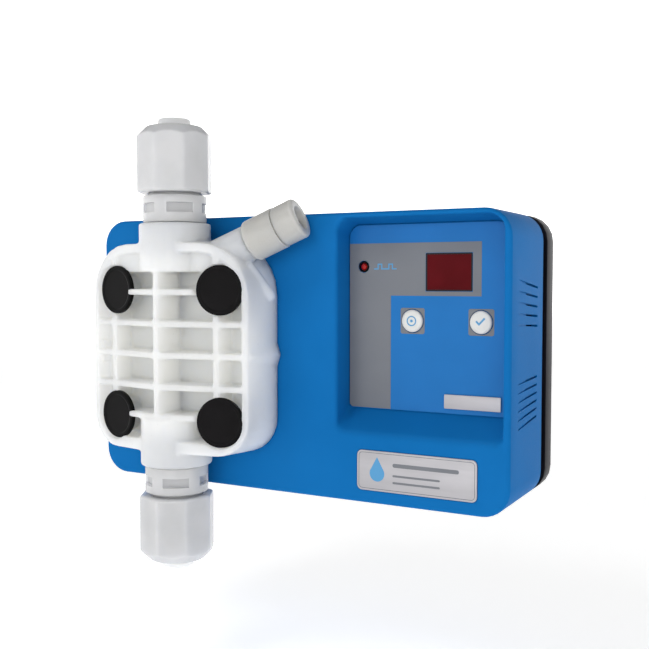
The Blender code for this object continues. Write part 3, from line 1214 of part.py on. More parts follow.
def place_spring(frame, radius, wire, start, end):
    per_turn = 10
    count = int(SPRING_TURNS * per_turn)
    curve = bpy.data.curves.new("return_spring", "CURVE")
    curve.dimensions = "3D"
    curve.bevel_depth = wire
    curve.bevel_resolution = 0
    curve.use_fill_caps = True
    spline = curve.splines.new("POLY")
    spline.points.add(count)
    length = end - start - 2 * wire
    for index in range(count + 1):
        angle = 2.0 * math.pi * index / per_turn
        height = start + wire + length * index / count
        spline.points[index].co = (radius * math.cos(angle), radius * math.sin(angle), height, 1.0)
    place(bpy.data.objects.new("return_spring", curve), frame, rotation=FRONT, finish="steel")


def main():
    global parts, cutters
    clear_scene()
    parts = make_collection("dosing_pump")
    cutters = make_collection("cutters")
    make_materials()
    build_front_housing()
    build_gasket()
    build_rear_cover()
    build_case_screws()
    build_panel()
    build_electronics()
    build_entries()
    frame = empty("head_frame", (HEAD_X, CASE_FRONT, 0.0))
    build_pump_head(frame)
    build_head_fasteners(frame)
    build_valve("discharge", frame, DISCHARGE_SOCKET_END, True, math.radians(-43.2))
    build_valve("suction", frame, SUCTION_SOCKET_END, False, math.radians(-54.2))
    build_bleed_valve(frame)
    build_drive(frame)
    bpy.context.view_layer.update()


main()
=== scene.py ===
"""Looks of a wall-mounted diaphragm dosing pump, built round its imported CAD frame.

Metres, +Z up, front towards -Y, origin at the centre of the face on the wall.
"""

import json
import math

import bmesh
import bpy
from mathutils import Matrix, Vector


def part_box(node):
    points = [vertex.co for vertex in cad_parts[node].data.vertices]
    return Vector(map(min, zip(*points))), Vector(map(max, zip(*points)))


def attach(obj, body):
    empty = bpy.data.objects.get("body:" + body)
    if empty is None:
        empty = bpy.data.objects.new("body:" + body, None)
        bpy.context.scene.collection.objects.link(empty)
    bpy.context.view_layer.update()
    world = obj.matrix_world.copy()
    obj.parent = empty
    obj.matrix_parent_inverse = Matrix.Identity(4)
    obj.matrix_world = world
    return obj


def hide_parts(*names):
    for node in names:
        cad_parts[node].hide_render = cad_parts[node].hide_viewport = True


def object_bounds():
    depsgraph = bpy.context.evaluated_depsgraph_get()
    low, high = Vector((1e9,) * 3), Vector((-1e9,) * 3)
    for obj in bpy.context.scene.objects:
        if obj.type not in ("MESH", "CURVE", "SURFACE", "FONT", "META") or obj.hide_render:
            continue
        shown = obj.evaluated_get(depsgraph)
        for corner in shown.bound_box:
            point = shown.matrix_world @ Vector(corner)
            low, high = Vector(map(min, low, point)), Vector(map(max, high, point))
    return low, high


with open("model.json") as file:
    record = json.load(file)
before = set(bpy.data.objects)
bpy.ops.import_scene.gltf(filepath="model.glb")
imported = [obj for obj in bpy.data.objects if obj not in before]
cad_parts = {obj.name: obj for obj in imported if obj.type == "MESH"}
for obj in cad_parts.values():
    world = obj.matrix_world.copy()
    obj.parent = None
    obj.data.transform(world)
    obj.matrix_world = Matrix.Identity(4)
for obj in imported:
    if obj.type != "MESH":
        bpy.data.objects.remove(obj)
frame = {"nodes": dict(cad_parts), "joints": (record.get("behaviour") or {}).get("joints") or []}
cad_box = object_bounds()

MM = 0.001
GAP = 0.3 * MM
PRINT = 0.05 * MM                   # thickness of a printed layer

# Camera
CAMERA_PLACE = (0.18861, -0.36572, 0.02959)
CAMERA_PITCH = math.radians(87.22)
CAMERA_TURN = math.radians(28.66)
CAMERA_LENS = 51.26
CAMERA_SENSOR = 36.0

# Case
CASE_CORNER = 10.5 * MM
CASE_WALL = 2.2 * MM
FRONT_BEVEL = 1.4 * MM
RECESS_LIP = 1.8 * MM               # fillet of the recess edge on its left and lower sides
RECESS_RIM = 0.4 * MM               # the same where the recess runs close to the case edge
RECESS_FOOT = 0.6 * MM
RECESS_EDGE = 0.4 * MM              # room round the film
RECESS_SHELF = 8.0 * MM             # how far the lower side slopes down on its way out
RECESS_SLOPE = 2.1 * MM             # how far the upper side slopes up
RECESS_CORNERS = (2.0 * MM, 6.0 * MM, 5.0 * MM)   # the lower two, upper right, upper left
ROUND_STEPS = 5
COVER_EDGE = 0.5 * MM
GLAND_EDGE = 0.3 * MM
HEAD_OPENING = 30.0 * MM            # radius
SCREW_HOLE = 2.9 * MM               # radius
THROUGH_WALL = (-4.0 * MM, 2.0 * MM)   # start and end of a cutter along its way out
THROUGH_FLOOR = (-3.0 * MM, 3.0 * MM)
FLOOR_HOLES = (("status_lamp", 2.2 * MM), ("cal_key", 3.2 * MM), ("set_key", 3.2 * MM))
DISPLAY_HOLE = (15.0 * MM, 6.0 * MM, 11.0 * MM)
SIDE_HOLES = (("cable_gland", 8.2 * MM), ("probe_socket", 6.4 * MM))
SIDE_REACH = (-4.0 * MM, 4.0 * MM)
SEAT_CORNER = 2.3 * MM
VENT_HEIGHT = 0.8 * MM
VENT_START = 0.25 * MM              # depth of a groove at its front end
VENT_GROOVE = 1.2 * MM              # depth of a groove at its rear end
VENT_SLOT = 0.45 * MM               # height of the narrow slot through the wall
VENT_FRONT = -44.8 * MM
VENT_THROUGH = -34.0 * MM
VENT_BACK = -21.3 * MM
VENT_CUTTER = 3.0 * MM              # width of the cutters of the grooves
VENT_REACH = 8.0 * MM               # width of the cutters that go through the wall
VENT_FAN = math.radians(0.215) / MM
VENT_ROWS = ((29.2 * MM, 3.95 * MM, 5), (-7.6 * MM, 3.3 * MM, 6))   # top slot, pitch, count

# Control panel
FILM_CORNERS = (1.6 * MM, 5.6 * MM, 4.6 * MM, 1.6 * MM)
LAMP_HOLE = 2.3 * MM                # radius in the film
LAMP_PRINT_HOLE = 2.35 * MM         # radius in the print on it
OPENING_REACH = 2.0 * MM
WINDOW_REACH = 4.0 * MM
BAND_TOP = 43.5 * MM                # the grey print's band across the display
BAND_UNDER = 23.5 * MM
BAND_RIGHT = 77.5 * MM
LEG_RIGHT = 41.4 * MM               # the grey print's leg down the left side
PRINT_EDGE = 0.05 * MM
WINDOW_RIM = 0.5 * MM
WINDOW_CORNER = 0.4 * MM
WINDOW_LAP = 0.1 * MM
HALO = 4.9 * MM                     # half the width of the square round a key
HALO_CORNER = 0.8 * MM
PULSE_START = 4.6 * MM
PULSE_LINE = 0.45 * MM
PULSE_STEP = 1.5 * MM
PULSE_RISE = 0.9 * MM
PULSE_ROUND = 0.3                   # corner radius as a share of the line's width
KEY_DOME = ((0.62, -0.02 * MM), (0.86, -0.12 * MM), (1.0, -0.55 * MM))   # share of radius, height
KEY_SKIRT = 1.3 * MM
KEY_STEM = 2.6 * MM
SYMBOL_SUNK = 0.03 * MM             # how deep a symbol starts in the key
SYMBOL_HIGH = 0.09 * MM
CAL_RING = (1.5 * MM, 1.95 * MM)    # inner and outer radius
CAL_POINT = 0.55 * MM
SET_TICK = ((-1.9, 0.2), (-1.4, 0.7), (-0.5, -0.2), (1.4, 1.8), (1.9, 1.3), (-0.5, -1.2))
BEZEL_GAP = 0.15 * MM
BEZEL_LIP = 0.4 * MM
BEZEL_RIM = 0.55 * MM
BEZEL_TOP = 0.5 * MM
BEZEL_FOOT = 0.3 * MM
LENS_STEPS = 8

# Plates
PLATE_CORNERS = (("name_plate", 2.0 * MM), ("rating_label", 0.3 * MM))
PLATE_BEVEL = 0.12 * MM
BORDER_INSET = 0.7 * MM
BORDER_LINE = 0.22 * MM
BORDER_CORNERS = (1.5 * MM, 1.3 * MM)
DROP_PLACE = (0.55, -0.06)          # in heights of the plate, like the two below
DROP_RADIUS = 0.2
BAR_START = 0.42
DROP_TIP = 2.05                     # in radii of the drop
DROP_SHOULDER = math.radians(35.0)
DROP_STEPS = 28
BAR_END = 2.5 * MM                  # room beyond a full bar
BAR_ROUND = 0.45                    # corner radius as a share of a bar's thickness
PLATE_BARS = ((0.18, 0.86, 1.5 * MM),   # place in heights, share of the length, thickness
              (-0.08, 0.62, 0.8 * MM), (-0.25, 0.62, 0.8 * MM))

# Valves: heights are measured outward from the end of a valve's socket
BODY_END = 27.0 * MM
COLLAR_END = 10.9 * MM
COLLAR_RADIUS = 12.55 * MM
NECK_RADIUS = 10.2 * MM
THREAD_ROOT = 9.5 * MM
THREAD_PITCH = 1.814 * MM
THREAD_START = 13.0 * MM
THREAD_NEAR = 0.01 * MM             # how near to the neck's radius a point counts as on it
SOCKET_RADIUS = 14.2 * MM
SOCKET_BORE = 10.0 * MM
SOCKET_DEPTH = 12.5 * MM
BODY_BORE = 6.3 * MM
INSERT_END = 41.2 * MM
INSERT_RADIUS = 6.5 * MM
TUBE_BORE = 3.0 * MM
WINDOWS = 5
WINDOW_SIZE = (4.2 * MM, 10.2 * MM, 3.8 * MM)
WINDOW_HEIGHT = 5.9 * MM
NECK_CHAMFER = 0.4 * MM
NECK_TOP = BODY_END - NECK_CHAMFER
STEPS_PER_PITCH = 10
COLLAR_SOFT = 0.5 * MM
COLLAR_KNEE = 0.15 * MM
LEDGE = 1.3 * MM
NUT_VOXEL = 0.35 * MM
NUT_FACES = 60000
INSERT_SHOULDER = 7.5 * MM
INSERT_FLANGE = 2.6 * MM
FLANGE_INSET = 0.2 * MM

# Bleed valve: heights are measured along its axis from its foot
BLEED_MIDDLE = 55.7 * MM
BLEED_START = 37.9 * MM
BLEED_SEAM = 51.2 * MM
BLEED_END = 60.2 * MM
BLEED_RADIUS = 8.1 * MM
BLEED_BORE = 3.2 * MM
BLEED_STEM = 4.0 * MM - GAP
BLEED_STEM_LENGTH = 16.0 * MM
BLEED_SEAT = 1.2 * MM
BLEED_CONE = (13.0 * MM, 10.0 * MM)   # depths of its narrow and wide end below the start
SEAM_EDGE = 0.25 * MM
SHOULDER_EDGE = 1.6 * MM
KNOB_EDGE = 1.4 * MM
KNOB_INSET = 0.25 * MM
KNOB_HOLE = 2.2 * MM
KNOB_MOUTH = 4.6 * MM
KNOB_DEEP = 3.0 * MM                # height of the hollow's bottom over the seam

# Head and its caps
HEAD_VOXEL = 0.5 * MM
HEAD_FACES = 150000
SOCKET_MELT = 10.0 * MM             # how far the round sockets reach into the head
CAP_RADIUS = 9.7 * MM
CAP_THICKNESS = 2.0 * MM
CAP_FRONT = -21.5 * MM
SCREW_PITCH = 25.5 * MM
HEAD_SLOPE = math.radians(11.8)
CAP_DISH = 0.25 * MM
CAP_RIM = 1.4 * MM
CAP_RAMP = 1.9 * MM
PEG_RADIUS = 3.5 * MM
PEG_END = 3.3 * MM
PEG_LENGTH = 0.8 * MM

# Shaping; the angles are in degrees
SMOOTH_ANGLE = 38.0                 # edges sharper than this stay sharp
ALL_SMOOTH = 180.0                  # no edge stays sharp
EDGE_SMOOTH = 20.0                  # the same for pieces with bevelled edges
EDGE_ANGLE = 40.0                   # edges sharper than this are bevelled
FLAT_ANGLE = 0.5                    # faces closer in angle than this become one
MELT_ROUNDS = 5
CORNER_STEPS = 4
CORNER_SHARE = 0.45                 # share of a profile's edge that one corner may take
ON_AXIS = 0.0001 * MM               # a smaller radius is a point on the axis
ROD_SEGMENTS = 64
MERGE = 0.001 * MM                  # points closer than this become one

# Materials
CLOUD_DETAIL = 4.0
CLOUD_EDGES = (0.35, 0.65)
GRAIN_DETAIL = 2.0
BUMP_STRENGTH = 0.5
BAND_WAVER = 0.4

# Set
STAGE_RADIUS = 4.0
STAGE_WALL = 1.7
FLOOR_DROP = 40.0 * MM
FLOOR_GLOW = 0.56
WALL_GLOW = 0.76
SKY = 0.20
LIGHT_TARGET = (0.0, -0.03, 0.0)
LIGHTS = (("key", (-0.3, -0.7, 0.9), 0.35, 2.5),    # name, place, size, power
          ("fill", (0.15, -1.0, 0.15), 0.5, 0.9),
          ("side", (0.9, -0.45, 0.2), 0.7, 0.15),
          ("rear", (-0.3, 0.8, 0.6), 0.8, 0.25))


def middle(node):
    low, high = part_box(node)
    return (low + high) / 2


case_low, case_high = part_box("front_housing")
recess_low, recess_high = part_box("panel_overlay")
CASE_FRONT = case_low.y
SHELL_BACK = case_high.y
HEAD_X = middle("push_rod").x
VALVE_Y = middle("discharge_ball").y
DISCHARGE_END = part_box("discharge_valve_body")[1].z - BODY_END
SUCTION_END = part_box("suction_valve_body")[0].z + BODY_END
FILM_FRONT = recess_low.y
VALVES = (("discharge", DISCHARGE_END, 1.0, math.radians(-43.2)),   # name, end, way out, turn
          ("suction", SUCTION_END, -1.0, math.radians(-54.2)))

bleed_joint = next(j for j in frame["joints"] if j["name"] == "bleed_knob_turn")
BLEED_AXIS = Vector(bleed_joint["axis"]).normalized()
BLEED_FOOT = Vector(bleed_joint["pos_m"]) - BLEED_AXIS * BLEED_MIDDLE


# ---------------------------------------------------------------- materials

def finish(name, colour, shade, roughness, mottle=0.03, grain=0.0004, depth=0.00002, stretch=None,
           spread=0.06, **sockets):
    """Principled material whose colour, roughness and surface vary as a moulded or cut one does."""
    made = bpy.data.materials.new(name)
    made.use_nodes = True
    nodes, links = made.node_tree.nodes, made.node_tree.links
    shader = nodes["Principled BSDF"]
    place = nodes.new("ShaderNodeTexCoord")
    source = place.outputs["Object"]
    if stretch:
        scaled = nodes.new("ShaderNodeMapping")
        scaled.inputs["Scale"].default_value = stretch
        links.new(source, scaled.inputs["Vector"])
        source = scaled.outputs["Vector"]

    cloud = nodes.new("ShaderNodeTexNoise")
    cloud.inputs["Scale"].default_value = 1.0 / mottle
    cloud.inputs["Detail"].default_value = CLOUD_DETAIL
    links.new(source, cloud.inputs["Vector"])
    ramp = nodes.new("ShaderNodeValToRGB")
    ramp.color_ramp.elements[0].position = CLOUD_EDGES[0]
    ramp.color_ramp.elements[0].color = (*shade, 1.0)
    ramp.color_ramp.elements[1].position = CLOUD_EDGES[1]
    ramp.color_ramp.elements[1].color = (*colour, 1.0)
    links.new(cloud.outputs["Fac"], ramp.inputs["Fac"])
    links.new(ramp.outputs["Color"], shader.inputs["Base Color"])

    fine = nodes.new("ShaderNodeTexNoise")
    fine.inputs["Scale"].default_value = 1.0 / grain
    fine.inputs["Detail"].default_value = GRAIN_DETAIL
    links.new(source, fine.inputs["Vector"])
    spread_node = nodes.new("ShaderNodeMapRange")
    spread_node.inputs["To Min"].default_value = roughness - spread
    spread_node.inputs["To Max"].default_value = roughness + spread
    links.new(fine.outputs["Fac"], spread_node.inputs["Value"])
    links.new(spread_node.outputs["Result"], shader.inputs["Roughness"])
    bump = nodes.new("ShaderNodeBump")
    bump.inputs["Strength"].default_value = BUMP_STRENGTH
    bump.inputs["Distance"].default_value = depth
    links.new(fine.outputs["Fac"], bump.inputs["Height"])
    links.new(bump.outputs["Normal"], shader.inputs["Normal"])
    for socket, value in sockets.items():
        shader.inputs[socket.replace("_", " ")].default_value = value
    return made


def banded(name, colour, shade, roughness, axis, pitch, depth, **sockets):
    """A finish with fine parallel bands, as on a winding or a stack of sheets."""
    made = finish(name, colour, shade, roughness, **sockets)
    nodes, links = made.node_tree.nodes, made.node_tree.links
    wave = nodes.new("ShaderNodeTexWave")
    wave.bands_direction = axis
    wave.inputs["Scale"].default_value = math.pi / (10.0 * pitch)
    wave.inputs["Distortion"].default_value = BAND_WAVER
    place = next(n for n in nodes if n.bl_idname == "ShaderNodeTexCoord")
    links.new(place.outputs["Object"], wave.inputs["Vector"])
    bump = next(n for n in nodes if n.bl_idname == "ShaderNodeBump")
    bump.inputs["Distance"].default_value = depth
    links.new(wave.outputs["Fac"], bump.inputs["Height"])
    return made


looks = {
    "blue_plastic": finish("blue_plastic", (0.007, 0.152, 0.44), (0.005, 0.137, 0.405), 0.42,
                           mottle=0.05, grain=0.0006, depth=0.00007, Specular_IOR_Level=0.02),
    "black_plastic": finish("black_plastic", (0.009, 0.008, 0.009), (0.005, 0.005, 0.005), 0.36,
                            grain=0.0005, depth=0.00002, Specular_IOR_Level=0.05),
    "cover_plastic": finish("cover_plastic", (0.008, 0.007, 0.011), (0.005, 0.005, 0.008), 0.34,
                            grain=0.0005, depth=0.00003, Specular_IOR_Level=0.05),
    "rubber": finish("rubber", (0.006, 0.006, 0.008), (0.003, 0.003, 0.004), 0.6,
                     grain=0.0003, depth=0.00002, Specular_IOR_Level=0.03),
    "natural_pp": finish("natural_pp", (0.895, 0.895, 0.86), (0.865, 0.865, 0.835), 0.30,
                         mottle=0.014, grain=0.0012, depth=0.000012,
                         Subsurface_Weight=1.0, Subsurface_Scale=0.022,
                         Subsurface_Radius=(1.0, 0.95, 0.85), Specular_IOR_Level=0.35),
    "milky_pp": finish("milky_pp", (0.59, 0.59, 0.60), (0.545, 0.55, 0.56), 0.15,
                       mottle=0.012, grain=0.0015, depth=0.000006, spread=0.03,
                       Subsurface_Weight=0.9, Subsurface_Scale=0.010,
                       Subsurface_Radius=(0.9, 0.92, 1.0), Specular_IOR_Level=0.5),
    "bleed_pp": finish("bleed_pp", (0.50, 0.495, 0.475), (0.46, 0.455, 0.437), 0.28,
                       mottle=0.03, grain=0.0005, depth=0.000005, spread=0.02,
                       Subsurface_Weight=0.9, Subsurface_Scale=0.008,
                       Subsurface_Radius=(1.0, 0.95, 0.88), Specular_IOR_Level=0.35),
    "blue_film": finish("blue_film", (0.012, 0.162, 0.47), (0.010, 0.150, 0.435), 0.33,
                        grain=0.00025, depth=0.000006, Specular_IOR_Level=0.15),
    "grey_ink": finish("grey_ink", (0.185, 0.195, 0.215), (0.165, 0.175, 0.195), 0.36,
                       grain=0.00025, depth=0.000006, Specular_IOR_Level=0.15),
    "pale_ink": finish("pale_ink", (0.07, 0.30, 0.56), (0.06, 0.27, 0.52), 0.36, grain=0.00025,
                       depth=0.000006),
    "dark_ink": finish("dark_ink", (0.008, 0.010, 0.016), (0.005, 0.007, 0.011), 0.3,
                       grain=0.00025, depth=0.000006, Specular_IOR_Level=0.2),
    "red_window": finish("red_window", (0.105, 0.004, 0.007), (0.078, 0.002, 0.004), 0.16,
                         mottle=0.02, depth=0.000003, spread=0.02, Specular_IOR_Level=0.05),
    "red_lens": finish("red_lens", (0.40, 0.012, 0.010), (0.28, 0.006, 0.006), 0.15,
                       mottle=0.002, depth=0.000003, spread=0.03, Specular_IOR_Level=0.3),
    "key_film": finish("key_film", (0.70, 0.70, 0.68), (0.65, 0.65, 0.63), 0.3, mottle=0.004,
                       grain=0.00025, depth=0.000006),
    "silver_label": finish("silver_label", (0.46, 0.45, 0.47), (0.41, 0.40, 0.42), 0.34,
                           mottle=0.004, grain=0.0003, depth=0.000006, stretch=(0.12, 1.0, 1.0),
                           Metallic=0.35),
    "ceramic": finish("ceramic", (0.88, 0.86, 0.80), (0.83, 0.81, 0.75), 0.14, depth=0.000003),
    "ptfe": finish("ptfe", (0.86, 0.86, 0.84), (0.80, 0.80, 0.78), 0.45, depth=0.00001),
    "steel": finish("steel", (0.60, 0.60, 0.61), (0.48, 0.48, 0.50), 0.3, mottle=0.006,
                    grain=0.0003, depth=0.000008, Metallic=1.0),
    "copper": banded("copper", (0.66, 0.27, 0.12), (0.50, 0.18, 0.07), 0.32, "Y", 0.0004,
                     0.0001, Metallic=0.9),
    "lamination": banded("lamination", (0.20, 0.20, 0.21), (0.13, 0.13, 0.14), 0.5, "Z", 0.0005,
                         0.00006, Metallic=0.7),
    "circuit_board": finish("circuit_board", (0.012, 0.15, 0.06), (0.020, 0.21, 0.09), 0.36,
                            mottle=0.004, depth=0.00001),
    "terminal_green": finish("terminal_green", (0.02, 0.24, 0.10), (0.015, 0.19, 0.08), 0.45),
}


# ---------------------------------------------------------------- making pieces

def finished(obj, look, body, replaced=()):
    """Give a piece its material and the body it rides on, and hide the CAD nodes it stands for."""
    obj.data.materials.clear()
    obj.data.materials.append(looks[look])
    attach(obj, body)
    if replaced:
        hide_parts(*replaced)
    return obj


def from_bmesh(name, bm):
    bmesh.ops.recalc_face_normals(bm, faces=bm.faces)
    mesh = bpy.data.meshes.new(name)
    bm.to_mesh(mesh)
    bm.free()
    mesh.shade_smooth()
    mesh.set_sharp_from_angle(angle=math.radians(SMOOTH_ANGLE))
    obj = bpy.data.objects.new(name, mesh)
    bpy.context.scene.collection.objects.link(obj)
    return obj


def settle(obj, smooth_angle=SMOOTH_ANGLE):
    """Apply every modifier of an object to its mesh."""
    bpy.context.view_layer.update()
    evaluated = obj.evaluated_get(bpy.context.evaluated_depsgraph_get())
    mesh = bpy.data.meshes.new_from_object(evaluated)
    obj.modifiers.clear()
    obj.data = mesh
    mesh.shade_smooth()
    mesh.set_sharp_from_angle(angle=math.radians(smooth_angle))
    return obj


def cut(obj, *tools):
    """Cut the tools out of an object, and remove them."""
    for tool in tools:
        modifier = obj.modifiers.new(tool.name, "BOOLEAN")
        modifier.operation = "DIFFERENCE"
        modifier.solver = "EXACT"
        modifier.object = tool
    settle(obj)
    for tool in tools:
        bpy.data.objects.remove(tool, do_unlink=True)
    return obj


def aim(direction):
    return Vector((0.0, 0.0, 1.0)).rotation_difference(Vector(direction)).to_matrix().to_4x4()


def block(name, size, centre, turn=None):
    bm = bmesh.new()
    bmesh.ops.create_cube(bm, size=1.0)
    bmesh.ops.scale(bm, vec=size, verts=bm.verts)
    if turn is not None:
        bmesh.ops.rotate(bm, matrix=turn, verts=bm.verts)
    bmesh.ops.translate(bm, vec=centre, verts=bm.verts)
    return from_bmesh(name, bm)


def rod(name, radius, place, direction, start, end):
    bm = bmesh.new()
    bmesh.ops.create_cone(bm, cap_ends=True, segments=ROD_SEGMENTS, radius1=radius, radius2=radius,
                          depth=end - start)
    bmesh.ops.translate(bm, vec=(0.0, 0.0, (start + end) / 2), verts=bm.verts)
    bmesh.ops.transform(bm, matrix=Matrix.Translation(place) @ aim(direction), verts=bm.verts)
    return from_bmesh(name, bm)


def rounded_profile(points, radius, closed):
    """Round the corners of a profile; a third number in a point is its own radius."""
    count = len(points)
    made = []
    for index, (r, h, *own) in enumerate(points):
        corner = Vector((r, h))
        if not closed and index in (0, count - 1):
            made.append(corner)
            continue
        before = Vector(points[index - 1][:2]) - corner
        after = Vector(points[(index + 1) % count][:2]) - corner
        reach = min(own[0] if own else radius, before.length * CORNER_SHARE,
                    after.length * CORNER_SHARE)
        first = corner + before.normalized() * reach
        last = corner + after.normalized() * reach
        for step in range(CORNER_STEPS + 1):
            t = step / CORNER_STEPS
            made.append(first * (1 - t) ** 2 + corner * 2 * t * (1 - t) + last * t ** 2)
    return made


def turned(name, profile, place, direction, closed=False, radius=0.4 * MM, steps=96, wave=None):
    """Turn a profile of (radius, height) points; wave may change a radius by angle and height."""
    outline = rounded_profile(profile, radius, closed) if radius else [Vector(p) for p in profile]
    bm = bmesh.new()
    rings = []
    for r, h in outline:
        if r < ON_AXIS:
            rings.append([bm.verts.new((0.0, 0.0, h))])
            continue
        ring = []
        for index in range(steps):
            angle = 2.0 * math.pi * index / steps
            reach = wave(r, h, angle) if wave else r
            ring.append(bm.verts.new((reach * math.cos(angle), reach * math.sin(angle), h)))
        rings.append(ring)
    pairs = list(zip(rings, rings[1:]))
    if closed:
        pairs.append((rings[-1], rings[0]))
    for upper, lower in pairs:
        for index in range(steps):
            after = (index + 1) % steps
            corners = [upper[index % len(upper)], upper[after % len(upper)],
                       lower[after % len(lower)], lower[index % len(lower)]]
            bm.faces.new(list(dict.fromkeys(corners)))
    bmesh.ops.transform(bm, matrix=Matrix.Translation(place) @ aim(direction), verts=bm.verts)
    return from_bmesh(name, bm)


def rounded_outline(left, right, bottom, top, radii, steps=8):
    """Corner arcs of a rounded rectangle: lower right, upper right, upper left, lower left."""
    centres = ((right - radii[0], bottom + radii[0], -90.0), (right - radii[1], top - radii[1], 0.0),
               (left + radii[2], top - radii[2], 90.0), (left + radii[3], bottom + radii[3], 180.0))
    points = []
    for (x, z, start), radius in zip(centres, radii):
        for index in range(steps + 1):
            angle = math.radians(start + 90.0 * index / steps)
            points.append((x + radius * math.cos(angle), z + radius * math.sin(angle)))
    return points


def sheet_piece(name, outline, y_back, y_front):
    """Thin flat piece with the given outline."""
    bm = bmesh.new()
    face = bm.faces.new([bm.verts.new((x, y_back, z)) for x, z in outline])
    grown = bmesh.ops.extrude_face_region(bm, geom=[face])
    verts = [item for item in grown["geom"] if isinstance(item, bmesh.types.BMVert)]
    bmesh.ops.translate(bm, vec=(0.0, y_front - y_back, 0.0), verts=verts)
    return from_bmesh(name, bm)


def loft(name, rings):
    """Solid through rings of (outline, y), closed over the first and the last ring."""
    bm = bmesh.new()
    loops = [[bm.verts.new((x, y, z)) for x, z in outline] for outline, y in rings]
    for first, second in zip(loops, loops[1:]):
        for index in range(len(first)):
            after = (index + 1) % len(first)
            bm.faces.new((first[index], first[after], second[after], second[index]))
    bm.faces.new(loops[0])
    bm.faces.new(loops[-1])
    return from_bmesh(name, bm)


def moulded(node, voxel, faces, extra=()):
    """A CAD node's shape with the soft edges of a moulding; extra shapes melt into it."""
    bm = bmesh.new()
    bm.from_mesh(frame["nodes"][node].data)
    for piece in extra:
        bm.from_mesh(piece.data)
        bpy.data.objects.remove(piece, do_unlink=True)
    bmesh.ops.remove_doubles(bm, verts=bm.verts, dist=MERGE)
    obj = from_bmesh(f"{node}_moulded", bm)
    remesh = obj.modifiers.new("melt", "REMESH")
    remesh.mode = "VOXEL"
    remesh.voxel_size = voxel
    ease = obj.modifiers.new("ease", "SMOOTH")
    ease.factor = 0.5
    ease.iterations = MELT_ROUNDS
    settle(obj, ALL_SMOOTH)
    ratio = faces / (2 * len(obj.data.polygons))
    if ratio < 1.0:
        thin = obj.modifiers.new("thin", "DECIMATE")
        thin.ratio = ratio
        settle(obj, ALL_SMOOTH)
    return obj


def edged(node, width, segments=2):
    """A CAD node's shape with its sharp edges broken by a small bevel."""
    bm = bmesh.new()
    bm.from_mesh(frame["nodes"][node].data)
    bmesh.ops.remove_doubles(bm, verts=bm.verts, dist=MERGE)
    bmesh.ops.dissolve_limit(bm, angle_limit=math.radians(FLAT_ANGLE), verts=bm.verts,
                             edges=bm.edges)
    obj = from_bmesh(f"{node}_edged", bm)
    bevel = obj.modifiers.new("edge", "BEVEL")
    bevel.width = width
    bevel.segments = segments
    bevel.limit_method = "ANGLE"
    bevel.angle_limit = math.radians(EDGE_ANGLE)
    return settle(obj, EDGE_SMOOTH)


# ---------------------------------------------------------------- case

def case_outline(inset=0.0):
    radius = CASE_CORNER - inset
    return rounded_outline(case_low.x + inset, case_high.x - inset, case_low.z + inset,
                           case_high.z - inset, (radius,) * 4)


def recess_outline(depth, lip=0.0):
    """The recess at a share of its depth; lip widens it, less where the case edge is close."""
    wide = lip * RECESS_LIP
    tight = lip * RECESS_RIM
    low = recess_low.z - RECESS_EDGE - RECESS_SHELF * (1 - depth)
    high = recess_high.z + RECESS_EDGE + RECESS_SLOPE * (1 - depth)
    below, upper_right, upper_left = RECESS_CORNERS
    below += MM * (1 - depth)
    return rounded_outline(
        recess_low.x - RECESS_EDGE - wide, recess_high.x + RECESS_EDGE + tight, low - wide,
        high + tight, (below + tight, upper_right + tight, upper_left + tight, below + wide))


def vent_blocks(width, height, front, back, lean=0.0):
    """Cutters for the slots, which fan out from mid height; lean sinks their rear ends."""
    made = []
    for top, pitch, count in VENT_ROWS:
        for index in range(count):
            z = top - pitch * index
            turn = Matrix.Rotation(-VENT_FAN * z, 3, "X") @ Matrix.Rotation(lean, 3, "Z")
            hinge = Vector((case_high.x - (VENT_START if lean else 0.0), VENT_FRONT, z))
            offset = turn @ Vector((width / 2 if lean else 0.0, (front + back) / 2 - hinge.y, 0.0))
            made.append(block(f"vent_{len(made)}", (width, back - front, height),
                              hinge + offset, turn))
    return made


